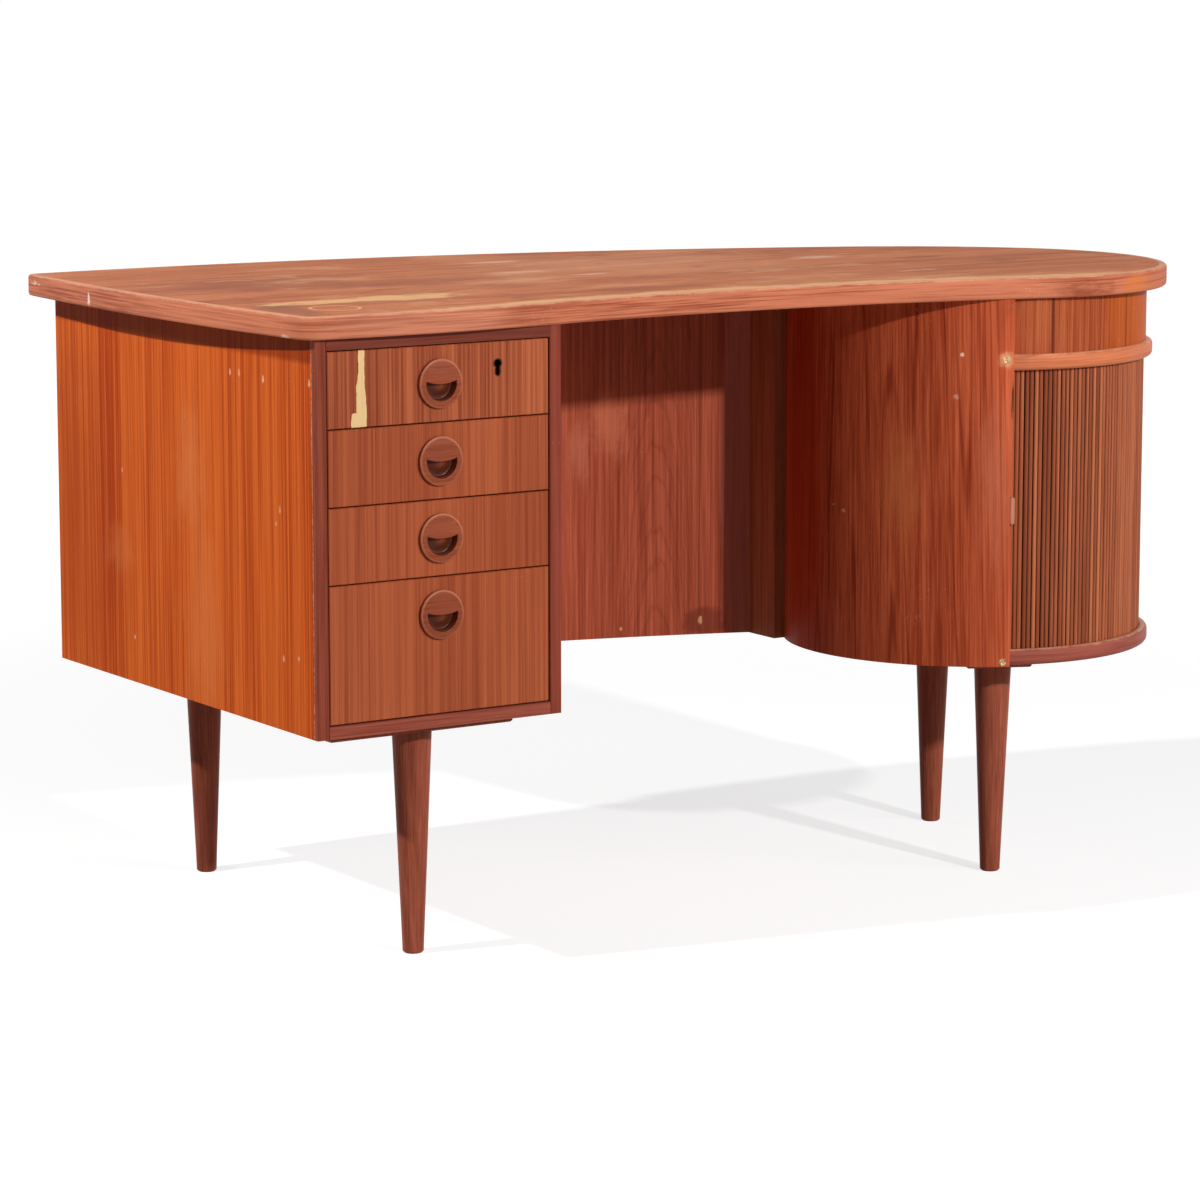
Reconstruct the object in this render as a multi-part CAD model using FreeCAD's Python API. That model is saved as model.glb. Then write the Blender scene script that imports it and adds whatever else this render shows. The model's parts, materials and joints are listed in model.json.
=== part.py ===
import FreeCAD, Part
import math
import os
from FreeCAD import Vector

# Tambour desk in teak, in millimetres. X runs along the desk from the drawers to the drum, Y from the
# sitter to the back, Z up from the floor. The pieces are placed from the pedestal's front left corner,
# and saved with the origin under the middle of the top.

# Overall
desk_length = 1287.0
desk_depth = 709.0
desk_height = 730.0
top_thickness = 25.0
carcass_bottom = 268.0        # underside of the pedestal and the drum
overrun = 5.0                 # how far cuts pass through a face
near = 0.3                    # an edge this near a level or a plane lies on it

# Top: eight arcs that run into each other
left_overhang = 40.0          # bow of the left end past the pedestal
left_bow_radius = 3250.0
left_bow_y = 400.0
front_bulge_forward = 15.5    # bulge over the drawers, past the pedestal's front
front_bulge_x = 125.0
front_bulge_radius = 1360.0
front_hollow_radius = 1600.0
end_forward = 63.0            # round end, past the pedestal's front
end_radius = 223.0
shoulder_radius = 480.0
shoulder_gap = 23.4           # how far the back curve passes outside the round end
back_crown_x = 100.0
front_corner_radius = 22.0
back_corner_radius = 14.0
lipping_width = 9.0
lipping_easing = 3.0

# Pedestal
pedestal_width = 313.0
side_thickness = 15.0
side_lipping_depth = 6.0
side_lipping_easing = 1.0
pedestal_bottom_thickness = 14.0
top_rail_height = 13.0
top_rail_depth = 70.0

# Drawers
small_drawer_share = 0.2037   # of the opening's height, for each small drawer
small_drawer_count = 3
drawer_gap = 1.5
front_setback = 1.0
front_thickness = 18.0
front_easing = 0.8
box_side_thickness = 10.0
box_top_drop = 8.0            # box sides below the top of the face
box_bottom_lift = 6.0         # box sides above the bottom of the face
box_back_thickness = 9.0
box_back_drop = 4.0
box_back_inset = 6.0
box_bottom_thickness = 4.0
box_bottom_rise = 5.0
box_housing = 4.0             # depth of the grooves that hold the bottom and the back
drawer_back_room = 18.0       # free space behind the drawers
dovetail_length = 12.0
dovetail_root = 14.0
dovetail_flare = 2.5
dovetail_spacing = 34.0
runner_height = 12.0
runner_groove_depth = 5.0
runner_clearance = 0.3
runner_front_stop = 30.0

# Eyelid pull
pull_diameter = 55.0
pull_rim = 4.0                # rim in front of the drawer's face
pull_crown = 6.0              # middle of the domed face in front of the drawer's face
pull_plug_depth = 12.0
pull_bore_clearance = 0.5
pull_hollow_diameter = 39.0
pull_hollow_depth = 5.0       # middle of the hollow behind the drawer's face
pull_hollow_radius = 34.0
pull_lid_z = 1.0              # lower edge of the eyelid above the pull's centre
pull_lid_thickness = 5.0
pull_undercut = 9.0
deep_pull_drop = 41.5         # pull's centre below the top of the deep front

# Lock
keyhole_x = 231.0
keyhole_drop = 24.0
keyhole_radius = 4.2
keyhole_slot_width = 4.4
keyhole_slot_length = 13.0
lock_width = 44.0
lock_height = 38.0
lock_thickness = 10.0
lock_wall = 2.2
lock_drop = 3.0
bolt_width = 22.0
bolt_height = 24.0
bolt_clearance = 0.3
bolt_travel = 10.0
mortise_margin = 1.0

# Bookcase along the back
back_overhang = 17.0
bookcase_depth = 163.0
kneehole_panel_thickness = 8.0
bookcase_bottom_thickness = 14.0
shelf_thickness = 14.0
shelf_housing = 4.0           # shelf ends in the grooves of the uprights
shelf_setback = 6.0
shelf_height = 205.0          # underside of the shelves above the bottom board
end_panel_thickness = 15.0

# Drum
drum_left_of_end = 14.0       # drum's axis, from the centre of the top's round end
drum_behind_end = 6.0
drum_radius = 214.0
deck_thickness = 19.0
upper_deck_drop = 66.0        # upper deck below the top: the height of the frieze
band_projection = 8.0
band_easing = 4.0
frieze_thickness = 8.0
frieze_lap_angle = 8.0
front_panel_thickness = 12.0
front_panel_edge_angle = -114.2
front_panel_far_angle = 140.0
rear_panel_thickness = 10.0
rear_edge_angle = 61.0
end_panel_behind_axis = 109.0
corner_post_width = 12.0
corner_post_depth = 16.0
liner_radius = 190.0
liner_thickness = 4.0
liner_end_angle = 4.0
drum_shelf_clearance = 1.0
drum_shelf_height = 160.0
cleat_angles = (80.0, 155.0, 230.0)
cleat_length = 40.0
cleat_depth = 10.0
cleat_height = 12.0

# Tambour
tambour_setback = 2.0         # ridges of the slats inside the edge of the decks
slat_thickness = 8.0
slat_pitch = 12.0
slat_gap = 0.5
reed_height = 1.8
reeds_per_slat = 2
reed_shares = (0.25, 0.75)    # corners across a reed's face
canvas_thickness = 1.2
canvas_end_room = 3.0
groove_depth = 8.0
groove_clearance = 0.6
tambour_lift = 0.3            # slats above the floor of the lower groove
tambour_top_room = 1.2
stile_width = 17.0
stile_show = 5.0              # stile to the right of the fixed panel's edge
tambour_rear_hidden_angle = 5.0
finger_pull_height = 32.0
finger_pull_width = 5.5
finger_pull_offset = 2.2      # middle of the pull, past the fixed panel's edge
finger_pull_projection = 7.0
finger_pull_easing = 1.5
notch_margin = 2.0

# Legs
leg_top_radius = 22.5
leg_foot_radius = 12.0
leg_foot_easing = 2.0
batten_thickness = 13.0
batten_length = 235.0
batten_width = 48.0
batten_easing = 2.0
leg_setback = 66.0            # pedestal legs, from the front and the back of the pedestal's sides
drum_leg_angle = 67.0
drum_leg_front = 130.0        # drum legs, from the drum's axis
drum_leg_rear = 165.0
drum_batten_width = 80.0
drum_batten_end = 32.0        # batten past each leg's axis

# Levels and places that follow from the sizes above
top_underside = desk_height - top_thickness
opening_bottom = carcass_bottom + pedestal_bottom_thickness
opening_top = top_underside - top_rail_height
opening_height = opening_top - opening_bottom
opening_left = side_thickness
opening_right = pedestal_width - side_thickness
upper_deck_bottom = top_underside - upper_deck_drop - deck_thickness
deck_top = carcass_bottom + deck_thickness
leg_length = carcass_bottom - batten_thickness
end_x = desk_length - left_overhang - end_radius
end_y = end_radius - end_forward
back_crown_y = desk_depth - end_forward
drum_x = end_x - drum_left_of_end
drum_y = end_y + drum_behind_end
band_radius = drum_radius + band_projection
panel_radius = drum_radius + front_panel_thickness
tambour_radius = drum_radius - tambour_setback
slat_back_radius = tambour_radius - slat_thickness
origin_shift = Vector(left_overhang - desk_length / 2, end_forward - desk_depth / 2, 0)


def circle_meet(c1, r1, c2, r2, turn):
    """Point r1 from c1 and r2 from c2, left of the line c1 to c2 where turn is 1, else right of it."""
    span = c2 - c1
    along = (r1 ** 2 - r2 ** 2 + span.Length ** 2) / (2 * span.Length)
    across = math.sqrt(r1 ** 2 - along ** 2)
    unit = span / span.Length
    return c1 + unit * along + Vector(-unit.y, unit.x, 0) * across * turn


def toward(centre, target, radius):
    """Point on the circle about centre that faces target."""
    ray = target - centre
    return centre + ray * (radius / ray.Length)


def arc(p, q, centre):
    """Arc of under half a circle from p to q about centre."""
    radius = (p - centre).Length
    return Part.Arc(p, toward(centre, (p + q) / 2, radius), q).toShape()


def line(p, q):
    return Part.makeLine(p, q)


def prism(edges, z, height):
    """Solid on the closed outline that the edges make."""
    face = Part.Face(Part.Wire(edges))
    face.translate(Vector(0, 0, z))
    return face.extrude(Vector(0, 0, height))


def box(x0, x1, y0, y1, z0, z1):
    return Part.makeBox(x1 - x0, y1 - y0, z1 - z0, Vector(x0, y0, z0))


def eased(solid, size, keep):
    """Take the sharpness off the edges that keep picks."""
    return solid.makeChamfer(size, [edge for edge in solid.Edges if keep(edge)])


def saved(node, *solids):
    shape = solids[0] if len(solids) == 1 else Part.makeCompound(list(solids))
    shape = shape.copy()
    shape.translate(origin_shift)
    shape.exportStep(f"parts/{node}.step")


# Centres of the top's arcs. The back curve's radius follows from how far it clears the round end.
end_centre = Vector(end_x, end_y, 0)
back_rise = back_crown_y - end_y
back_run = end_x - back_crown_x
back_reach = end_radius + shoulder_gap
back_radius = (back_run ** 2 + back_rise ** 2 - back_reach ** 2) / (2 * (back_rise - back_reach))
back_centre = Vector(back_crown_x, back_crown_y - back_radius, 0)
left_centre = Vector(left_bow_radius - left_overhang, left_bow_y, 0)
bulge_centre = Vector(front_bulge_x, front_bulge_radius - front_bulge_forward, 0)
hollow_centre = circle_meet(bulge_centre, front_bulge_radius + front_hollow_radius,
                            end_centre, front_hollow_radius + end_radius, -1)
shoulder_centre = circle_meet(back_centre, back_radius - shoulder_radius,
                              end_centre, shoulder_radius - end_radius, 1)


def top_outline(inset):
    """Closed outline of the top, moved inwards by inset."""
    left, bulge = left_bow_radius - inset, front_bulge_radius - inset
    back, end = back_radius - inset, end_radius - inset
    shoulder = shoulder_radius - inset
    front_round = max(front_corner_radius - inset, lipping_easing)
    back_round = max(back_corner_radius - inset, lipping_easing)
    front_corner = circle_meet(left_centre, left - front_round, bulge_centre, bulge - front_round, 1)
    back_corner = circle_meet(left_centre, left - back_round, back_centre, back - back_round, -1)
    joins = [
        (toward(left_centre, front_corner, left), front_corner),
        (toward(bulge_centre, front_corner, bulge), bulge_centre),
        (toward(bulge_centre, hollow_centre, bulge), hollow_centre),
        (toward(end_centre, hollow_centre, end), end_centre),
        (toward(shoulder_centre, end_centre, shoulder), shoulder_centre),
        (toward(back_centre, shoulder_centre, back), back_centre),
        (toward(back_centre, back_corner, back), back_corner),
        (toward(left_centre, back_corner, left), left_centre),
    ]
    ends = joins[1:] + joins[:1]
    return [arc(start, end[0], centre) for (start, centre), end in zip(joins, ends)]


def back_point(x, inset):
    """Point at x on the back curve, moved inwards by inset."""
    run = x - back_centre.x
    return Vector(x, back_centre.y + math.sqrt((back_radius - inset) ** 2 - run ** 2), 0)


def to_back(x0, x1, y_front, inset, z, height):
    """Board with a straight front edge whose rear edge follows the back curve."""
    front_left, front_right = Vector(x0, y_front, 0), Vector(x1, y_front, 0)
    rear_left, rear_right = back_point(x0, inset), back_point(x1, inset)
    edges = [line(front_left, front_right), line(front_right, rear_right),
             arc(rear_right, rear_left, back_centre), line(rear_left, front_left)]
    return prism(edges, z, height)


def along_back(x0, x1, inset_front, inset_rear, z, height):
    """Board or panel between two curves that run beside the back edge of the top."""
    front_left, front_right = back_point(x0, inset_front), back_point(x1, inset_front)
    rear_left, rear_right = back_point(x0, inset_rear), back_point(x1, inset_rear)
    edges = [arc(front_left, front_right, back_centre), line(front_right, rear_right),
             arc(rear_right, rear_left, back_centre), line(rear_left, front_left)]
    return prism(edges, z, height)


def drum_point(radius, angle):
    turn = math.radians(angle)
    return Vector(drum_x + radius * math.cos(turn), drum_y + radius * math.sin(turn), 0)


def drum_arc(radius, a0, a1):
    start, middle, end = (drum_point(radius, angle) for angle in (a0, (a0 + a1) / 2, a1))
    return Part.Arc(start, middle, end).toShape()


def ring(r0, r1, a0, a1, z, height):
    """Curved wall about the drum's axis, from angle a0 to angle a1."""
    edges = [drum_arc(r0, a0, a1), line(drum_point(r0, a1), drum_point(r1, a1)),
             drum_arc(r1, a1, a0), line(drum_point(r1, a0), drum_point(r0, a0))]
    return prism(edges, z, height)


def arc_angle(length, radius):
    return math.degrees(length / radius)


def rounds(radius, z):
    """Picks the round edges of a given radius about the drum's axis at height z."""
    def keep(edge):
        curve = edge.Curve
        at_height = abs(edge.CenterOfMass.z - z) < near
        return at_height and isinstance(curve, Part.Circle) and abs(curve.Radius - radius) < near
    return keep


os.makedirs("parts", exist_ok=True)

# Top: a core board inside a solid lipping with eased edges
core = prism(top_outline(lipping_width), top_underside, top_thickness)
lipping_body = prism(top_outline(0), top_underside, top_thickness)
level_edges = lambda edge: abs(edge.BoundBox.ZLength) < near
lipping = eased(lipping_body, lipping_easing, level_edges).cut(core)
saved("desktop_core", core)
saved("desktop_lipping", lipping)

# Shelves along the back, with their ends in grooves in the uprights
end_panel_right = drum_x - math.sqrt(panel_radius ** 2 - end_panel_behind_axis ** 2)
end_panel_left = end_panel_right - end_panel_thickness
end_panel_front = drum_y + end_panel_behind_axis
kneehole_rear = back_overhang + bookcase_depth
kneehole_front = kneehole_rear + kneehole_panel_thickness
bay_bottom = carcass_bottom + bookcase_bottom_thickness
side_height = top_underside - carcass_bottom


def shelf(x0, x1):
    return along_back(x0 - shelf_housing, x1 + shelf_housing, kneehole_rear, back_overhang + shelf_setback,
                      bay_bottom + shelf_height, shelf_thickness)


pedestal_shelf = shelf(opening_left, opening_right)
bookcase_shelf = shelf(pedestal_width, end_panel_left)
saved("pedestal_shelf", pedestal_shelf)
saved("bookcase_shelf", bookcase_shelf)

# Pedestal: two sides as deep as the desk, lipped at the front, on a bottom board under a top rail
left_side = to_back(0, opening_left, side_lipping_depth, back_overhang, carcass_bottom, side_height)
right_side = to_back(opening_right, pedestal_width, side_lipping_depth, back_overhang,
                     carcass_bottom, side_height)
saved("pedestal_left_side", left_side.cut(pedestal_shelf))
saved("pedestal_right_side", right_side.cut([pedestal_shelf, bookcase_shelf]))


def side_lipping(x):
    strip = box(x, x + side_thickness, 0, side_lipping_depth, carcass_bottom, top_underside)
    on_front = lambda edge: edge.CenterOfMass.y < near and edge.BoundBox.ZLength > side_thickness
    return eased(strip, side_lipping_easing, on_front)


saved("pedestal_side_lippings", side_lipping(0), side_lipping(opening_right))
saved("pedestal_bottom", to_back(opening_left, opening_right, 0, back_overhang,
                                 carcass_bottom, pedestal_bottom_thickness))
saved("pedestal_back", along_back(opening_left, opening_right, kneehole_front, kneehole_rear,
                                  opening_bottom, top_underside - opening_bottom))

# Drawers. Each face fills its share of the opening; the deep drawer takes what the small ones leave.
front_left = opening_left + drawer_gap
front_right = opening_right - drawer_gap
front_back = front_setback + front_thickness
box_back = min(back_point(x, kneehole_front).y for x in (opening_left, opening_right)) - drawer_back_room
pull_x = pedestal_width / 2
pull_radius = pull_diameter / 2


def across(radius, y0, y1):
    """Round bar along Y on the pull's axis."""
    return Part.makeCylinder(radius, y1 - y0, Vector(0, y0, 0), Vector(0, 1, 0))


def eyelid_pull(z):
    """Turned plug with a domed face and a hollow that opens under its upper half, the lid."""
    rise = pull_crown - pull_rim
    dome_radius = (pull_radius ** 2 + rise ** 2) / (2 * rise)
    dome = Part.makeSphere(dome_radius, Vector(0, dome_radius - pull_crown, 0))
    turned = across(pull_radius, -pull_crown, pull_plug_depth).common(dome)
    scoop_start = Vector(-pull_radius, pull_hollow_depth - pull_hollow_radius, 0)
    scoop = Part.makeCylinder(pull_hollow_radius, pull_diameter, scoop_start, Vector(1, 0, 0))
    hollow = scoop.common(across(pull_hollow_diameter / 2, -2 * pull_crown, pull_plug_depth))
    lid_back = pull_lid_thickness - pull_crown
    under_lid = box(-pull_radius, pull_radius, -2 * pull_crown, pull_plug_depth, -pull_radius, pull_lid_z)
    behind_lid = box(-pull_radius, pull_radius, lid_back, pull_plug_depth, -pull_radius, pull_undercut)
    pull = turned.cut(hollow.common(under_lid.fuse(behind_lid)))
    pull.translate(Vector(pull_x, front_setback, z))
    return pull


def keyhole(z, y0, y1):
    round_part = Part.makeCylinder(keyhole_radius, y1 - y0, Vector(keyhole_x, y0, z), Vector(0, 1, 0))
    half_slot = keyhole_slot_width / 2
    slot = box(keyhole_x - half_slot, keyhole_x + half_slot, y0, y1, z - keyhole_slot_length, z)
    return round_part.fuse(slot)


def dovetails(x, z0, z1):
    """Tails on the front end of a drawer side, spaced evenly over its height."""
    count = max(2, int((z1 - z0) // dovetail_spacing))
    step = (z1 - z0) / count
    y_tip, y_root = front_back - dovetail_length, front_back
    tails = []
    for index in range(count):
        middle = z0 + step * (2 * index + 1) / 2
        half_root = dovetail_root / 2
        half_tip = half_root + dovetail_flare
        corners = [Vector(x, y_root, middle - half_root), Vector(x, y_tip, middle - half_tip),
                   Vector(x, y_tip, middle + half_tip), Vector(x, y_root, middle + half_root)]
        face = Part.Face(Part.makePolygon(corners + corners[:1]))
        tails.append(face.extrude(Vector(box_side_thickness, 0, 0)))
    return tails


def drawer_side(x, outer_x, z0, z1):
    """Drawer side with its tails and with the groove in its outer face that runs on the runner."""
    board = box(x, x + box_side_thickness, front_back, box_back, z0, z1).fuse(dovetails(x, z0, z1))
    half_groove = runner_height / 2 + runner_clearance
    middle = (z0 + z1) / 2
    groove = box(outer_x - runner_groove_depth, outer_x + runner_groove_depth,
                 runner_front_stop - runner_clearance, box_back + overrun,
                 middle - half_groove, middle + half_groove)
    return board.cut(groove).removeSplitter()


runners = []


def add_runners(z):
    depth = drawer_gap + runner_groove_depth - runner_clearance
    z0, z1 = z - runner_height / 2, z + runner_height / 2
    runners.append(box(opening_left, opening_left + depth, runner_front_stop, box_back, z0, z1))
    runners.append(box(opening_right - depth, opening_right, runner_front_stop, box_back, z0, z1))


def drawer(number, z0, z1, pull_z, lock_cuts):
    """One drawer: front, sides, back, bottom and pull, each in its own node."""
    name = f"drawer_{number}"
    side_bottom, side_top = z0 + box_bottom_lift, z1 - box_top_drop
    inner_left, inner_right = front_left + box_side_thickness, front_right - box_side_thickness
    left = drawer_side(front_left, front_left, side_bottom, side_top)
    right = drawer_side(inner_right, front_right, side_bottom, side_top)
    floor_z = side_bottom + box_bottom_rise
    floor = box(inner_left - box_housing, inner_right + box_housing, front_back - box_housing, box_back,
                floor_z, floor_z + box_bottom_thickness)
    back_y = box_back - box_back_inset
    back = box(inner_left - box_housing, inner_right + box_housing, back_y - box_back_thickness, back_y,
               floor_z + box_bottom_thickness, side_top - box_back_drop)
    face = box(front_left, front_right, front_setback, front_back, z0, z1)
    on_face = lambda edge: abs(edge.CenterOfMass.y - front_setback) < near
    pull = eyelid_pull(pull_z)
    bore = Part.makeCylinder(pull_radius, pull_plug_depth + pull_bore_clearance,
                             Vector(pull_x, front_setback, pull_z), Vector(0, 1, 0))
    face = eased(face, front_easing, on_face).cut([left, right, floor, bore] + lock_cuts)
    saved(f"{name}_front", face)
    saved(f"{name}_sides", left.cut([floor, back]), right.cut([floor, back]))
    saved(f"{name}_back", back)
    saved(f"{name}_bottom", floor)
    saved(f"{name}_pull", pull)
    add_runners((side_bottom + side_top) / 2)


lock_top = opening_top - drawer_gap - lock_drop
lock_bottom = lock_top - lock_height
keyhole_z = opening_top - drawer_gap - keyhole_drop
face_top = opening_top - drawer_gap
for number in range(1, small_drawer_count + 1):
    face_bottom = face_top - small_drawer_share * opening_height
    cuts = [keyhole(keyhole_z, 0, front_back)] if number == 1 else []
    drawer(number, face_bottom, face_top, (face_bottom + face_top) / 2, cuts)
    face_top = face_bottom - drawer_gap
drawer(small_drawer_count + 1, opening_bottom + drawer_gap, face_top, face_top - deep_pull_drop, [])
saved("drawer_runners", *runners)

# Lock on the inside of the top drawer's front, with a bolt that slides up into the top rail
bolt_thickness = lock_thickness - 2 * lock_wall - 2 * bolt_clearance
bolt_y = front_back + lock_wall + bolt_clearance
bolt_top = lock_top - bolt_clearance
half_bolt = bolt_width / 2
bolt = box(keyhole_x - half_bolt, keyhole_x + half_bolt, bolt_y, bolt_y + bolt_thickness,
           bolt_top - bolt_height, bolt_top)
half_room = half_bolt + bolt_clearance
bolt_room = box(keyhole_x - half_room, keyhole_x + half_room, bolt_y - bolt_clearance,
                bolt_y + bolt_thickness + bolt_clearance, bolt_top - bolt_height - bolt_clearance,
                lock_top + overrun)
half_lock = lock_width / 2
lock_case = box(keyhole_x - half_lock, keyhole_x + half_lock, front_back, front_back + lock_thickness,
                lock_bottom, lock_top)
key_way = keyhole(keyhole_z, front_back - overrun, front_back + lock_wall)
saved("lock_case", lock_case.cut([bolt_room, key_way]))
saved("lock_bolt", bolt)
half_mortise = half_bolt + mortise_margin
mortise = box(keyhole_x - half_mortise, keyhole_x + half_mortise, bolt_y - mortise_margin,
              bolt_y + bolt_thickness + mortise_margin, opening_top - overrun,
              bolt_top + bolt_travel + mortise_margin)
top_rail = box(opening_left, opening_right, 0, top_rail_depth, opening_top, top_underside)
saved("pedestal_top_rail", top_rail.cut(mortise))

# Bookcase: the curved kneehole panel is its back, and it opens to the rear
saved("kneehole_panel", along_back(pedestal_width, end_panel_left, kneehole_front, kneehole_rear,
                                   carcass_bottom, side_height))
saved("bookcase_bottom", along_back(pedestal_width, end_panel_left, kneehole_rear, back_overhang,
                                    carcass_bottom, bookcase_bottom_thickness))
end_panel = to_back(end_panel_left, end_panel_right, end_panel_front, back_overhang,
                    carcass_bottom, side_height)
saved("bookcase_end_panel", end_panel.cut(bookcase_shelf))

# Drum: two decks with a groove each for the tambour. The decks fill out to the rear panel behind the circle.
rear_inner = back_overhang + rear_panel_thickness
far_radius = desk_depth
front_sector = ring(overrun, far_radius, rear_edge_angle - 90, rear_edge_angle,
                    carcass_bottom - overrun, side_height + 2 * overrun)
rear_panel_end = drum_point(panel_radius, rear_edge_angle).x + band_projection


def deck(z, groove_z):
    disc = Part.makeCylinder(drum_radius, deck_thickness, Vector(drum_x, drum_y, z))
    corner = to_back(end_panel_right, rear_panel_end, end_panel_front, rear_inner, z, deck_thickness)
    groove = ring(slat_back_radius - groove_clearance, tambour_radius + groove_clearance, 0, 180,
                  groove_z, groove_depth)
    other_half = ring(slat_back_radius - groove_clearance, tambour_radius + groove_clearance, 180, 360,
                      groove_z, groove_depth)
    board = disc.fuse(corner.cut(front_sector)).removeSplitter()
    return board.cut([groove, other_half])


def band(z):
    strip = ring(drum_radius, band_radius, front_panel_edge_angle, rear_edge_angle, z, deck_thickness)
    strip = eased(strip, band_easing, rounds(band_radius, z))
    return eased(strip, band_easing, rounds(band_radius, z + deck_thickness))


saved("drum_base_deck", deck(carcass_bottom, deck_top - groove_depth))
saved("drum_upper_deck", deck(upper_deck_bottom, upper_deck_bottom))
saved("drum_base_band", band(carcass_bottom))
saved("drum_upper_band", band(upper_deck_bottom))
saved("drum_frieze", ring(drum_radius - frieze_thickness, drum_radius,
                          front_panel_edge_angle - frieze_lap_angle, rear_edge_angle + frieze_lap_angle,
                          upper_deck_bottom + deck_thickness, upper_deck_drop))
rear_panel = along_back(end_panel_right, rear_panel_end, rear_inner, back_overhang,
                        carcass_bottom, side_height)
saved("drum_rear_panel", rear_panel.cut(front_sector))

# Fixed front panel, from the bookcase's end panel round to the tambour, with a notch for the finger pull
panel_edge = 360 + front_panel_edge_angle
panel = ring(drum_radius, panel_radius, front_panel_far_angle, panel_edge, carcass_bottom, side_height)
behind_end = box(end_panel_left - panel_radius, drum_x, end_panel_front, drum_y + panel_radius,
                 carcass_bottom - overrun, top_underside + overrun)
pull_middle = (deck_top + upper_deck_bottom) / 2
pull_half_angle = arc_angle(finger_pull_width / 2, tambour_radius)
notch_angle = pull_half_angle + arc_angle(notch_margin, tambour_radius)
half_notch = finger_pull_height / 2 + notch_margin
pull_angle = panel_edge + arc_angle(finger_pull_offset, tambour_radius)
notch = ring(tambour_radius, panel_radius + overrun, pull_angle - notch_angle, pull_angle + notch_angle,
             pull_middle - half_notch, 2 * half_notch)
saved("drum_front_panel", panel.cut([behind_end, notch]))
saved("drum_corner_post", box(end_panel_right, end_panel_right + corner_post_width, end_panel_front,
                              end_panel_front + corner_post_depth, deck_top, upper_deck_bottom))

# Liner that keeps the contents off the sliding slats, and a shelf on cleats fixed to it
room_height = upper_deck_bottom - deck_top
drum_shelf_z = deck_top + drum_shelf_height
half_cleat = arc_angle(cleat_length / 2, liner_radius)
saved("drum_liner", ring(liner_radius, liner_radius + liner_thickness, rear_edge_angle + liner_end_angle,
                         panel_edge - liner_end_angle, deck_top, room_height))
saved("drum_shelf", Part.makeCylinder(liner_radius - drum_shelf_clearance, shelf_thickness,
                                      Vector(drum_x, drum_y, drum_shelf_z)))
cleats = [ring(liner_radius - cleat_depth, liner_radius, angle - half_cleat, angle + half_cleat,
               drum_shelf_z - cleat_height, cleat_height) for angle in cleat_angles]
saved("drum_shelf_cleats", *cleats)

# Tambour: reeded slats on canvas behind a leading stile. Their ends run in the grooves of the decks.
slat_bottom = deck_top - groove_depth + tambour_lift
slat_height = upper_deck_bottom + groove_depth - tambour_top_room - slat_bottom
stile_start = front_panel_edge_angle - arc_angle(stile_width - stile_show, tambour_radius)
stile_end = front_panel_edge_angle + arc_angle(stile_show, tambour_radius)
gap_angle = arc_angle(slat_gap, tambour_radius)
pitch_angle = arc_angle(slat_pitch, tambour_radius)
slat_start = stile_end + gap_angle
slat_count = int((rear_edge_angle + tambour_rear_hidden_angle - slat_start) // pitch_angle)


def slat():
    """First slat: reeds side by side on a back that follows the canvas."""
    valley = tambour_radius - reed_height
    slat_end = slat_start + pitch_angle - gap_angle
    reed_angle = (slat_end - slat_start) / reeds_per_slat
    corners = [drum_point(slat_back_radius, slat_start), drum_point(valley, slat_start)]
    for reed in range(reeds_per_slat):
        a0 = slat_start + reed * reed_angle
        for share in reed_shares:
            corners.append(drum_point(tambour_radius, a0 + reed_angle * share))
        corners.append(drum_point(valley, a0 + reed_angle))
    corners.append(drum_point(slat_back_radius, slat_end))
    edges = [line(p, q) for p, q in zip(corners, corners[1:])]
    edges.append(drum_arc(slat_back_radius, slat_end, slat_start))
    return prism(edges, slat_bottom, slat_height)


def turned_about_drum(solid, angle):
    turned = solid.copy()
    turned.rotate(Vector(drum_x, drum_y, 0), Vector(0, 0, 1), angle)
    return turned


first_slat = slat()
slats = [turned_about_drum(first_slat, index * pitch_angle) for index in range(slat_count)]
saved("tambour_slats", *slats)
saved("tambour_canvas", ring(slat_back_radius - canvas_thickness, slat_back_radius, stile_start,
                             slat_start + slat_count * pitch_angle - gap_angle,
                             deck_top + canvas_end_room, room_height - 2 * canvas_end_room))
saved("tambour_lead_stile", ring(slat_back_radius, tambour_radius, stile_start, stile_end,
                                 slat_bottom, slat_height))
finger_pull_face = tambour_radius + finger_pull_projection
finger_pull = ring(tambour_radius, finger_pull_face,
                   pull_angle - pull_half_angle, pull_angle + pull_half_angle,
                   pull_middle - finger_pull_height / 2, finger_pull_height)
axis_at = lambda point: math.hypot(point.x - drum_x, point.y - drum_y)
off_stile = lambda edge: axis_at(edge.CenterOfMass) > finger_pull_face - finger_pull_easing
saved("tambour_pull", eased(finger_pull, finger_pull_easing, off_stile))

# Legs: turned and tapered, on battens
def leg(x, y):
    easing = leg_foot_easing
    outline = [Vector(0, 0, 0), Vector(leg_foot_radius - easing, 0, 0), Vector(leg_foot_radius, 0, easing),
               Vector(leg_top_radius, 0, leg_length), Vector(0, 0, leg_length)]
    profile = Part.Face(Part.makePolygon(outline + outline[:1]))
    turned = profile.revolve(Vector(0, 0, 0), Vector(0, 0, 1), 360)
    turned.translate(Vector(x, y, 0))
    return turned


def batten(x0, x1, width):
    """Flat bar under the carcass, along X and centred on Y zero, with eased lower edges."""
    bar = box(x0, x1, -width / 2, width / 2, leg_length, carcass_bottom)
    lower = lambda edge: edge.BoundBox.ZMax < leg_length + near
    return eased(bar, batten_easing, lower)


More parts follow.
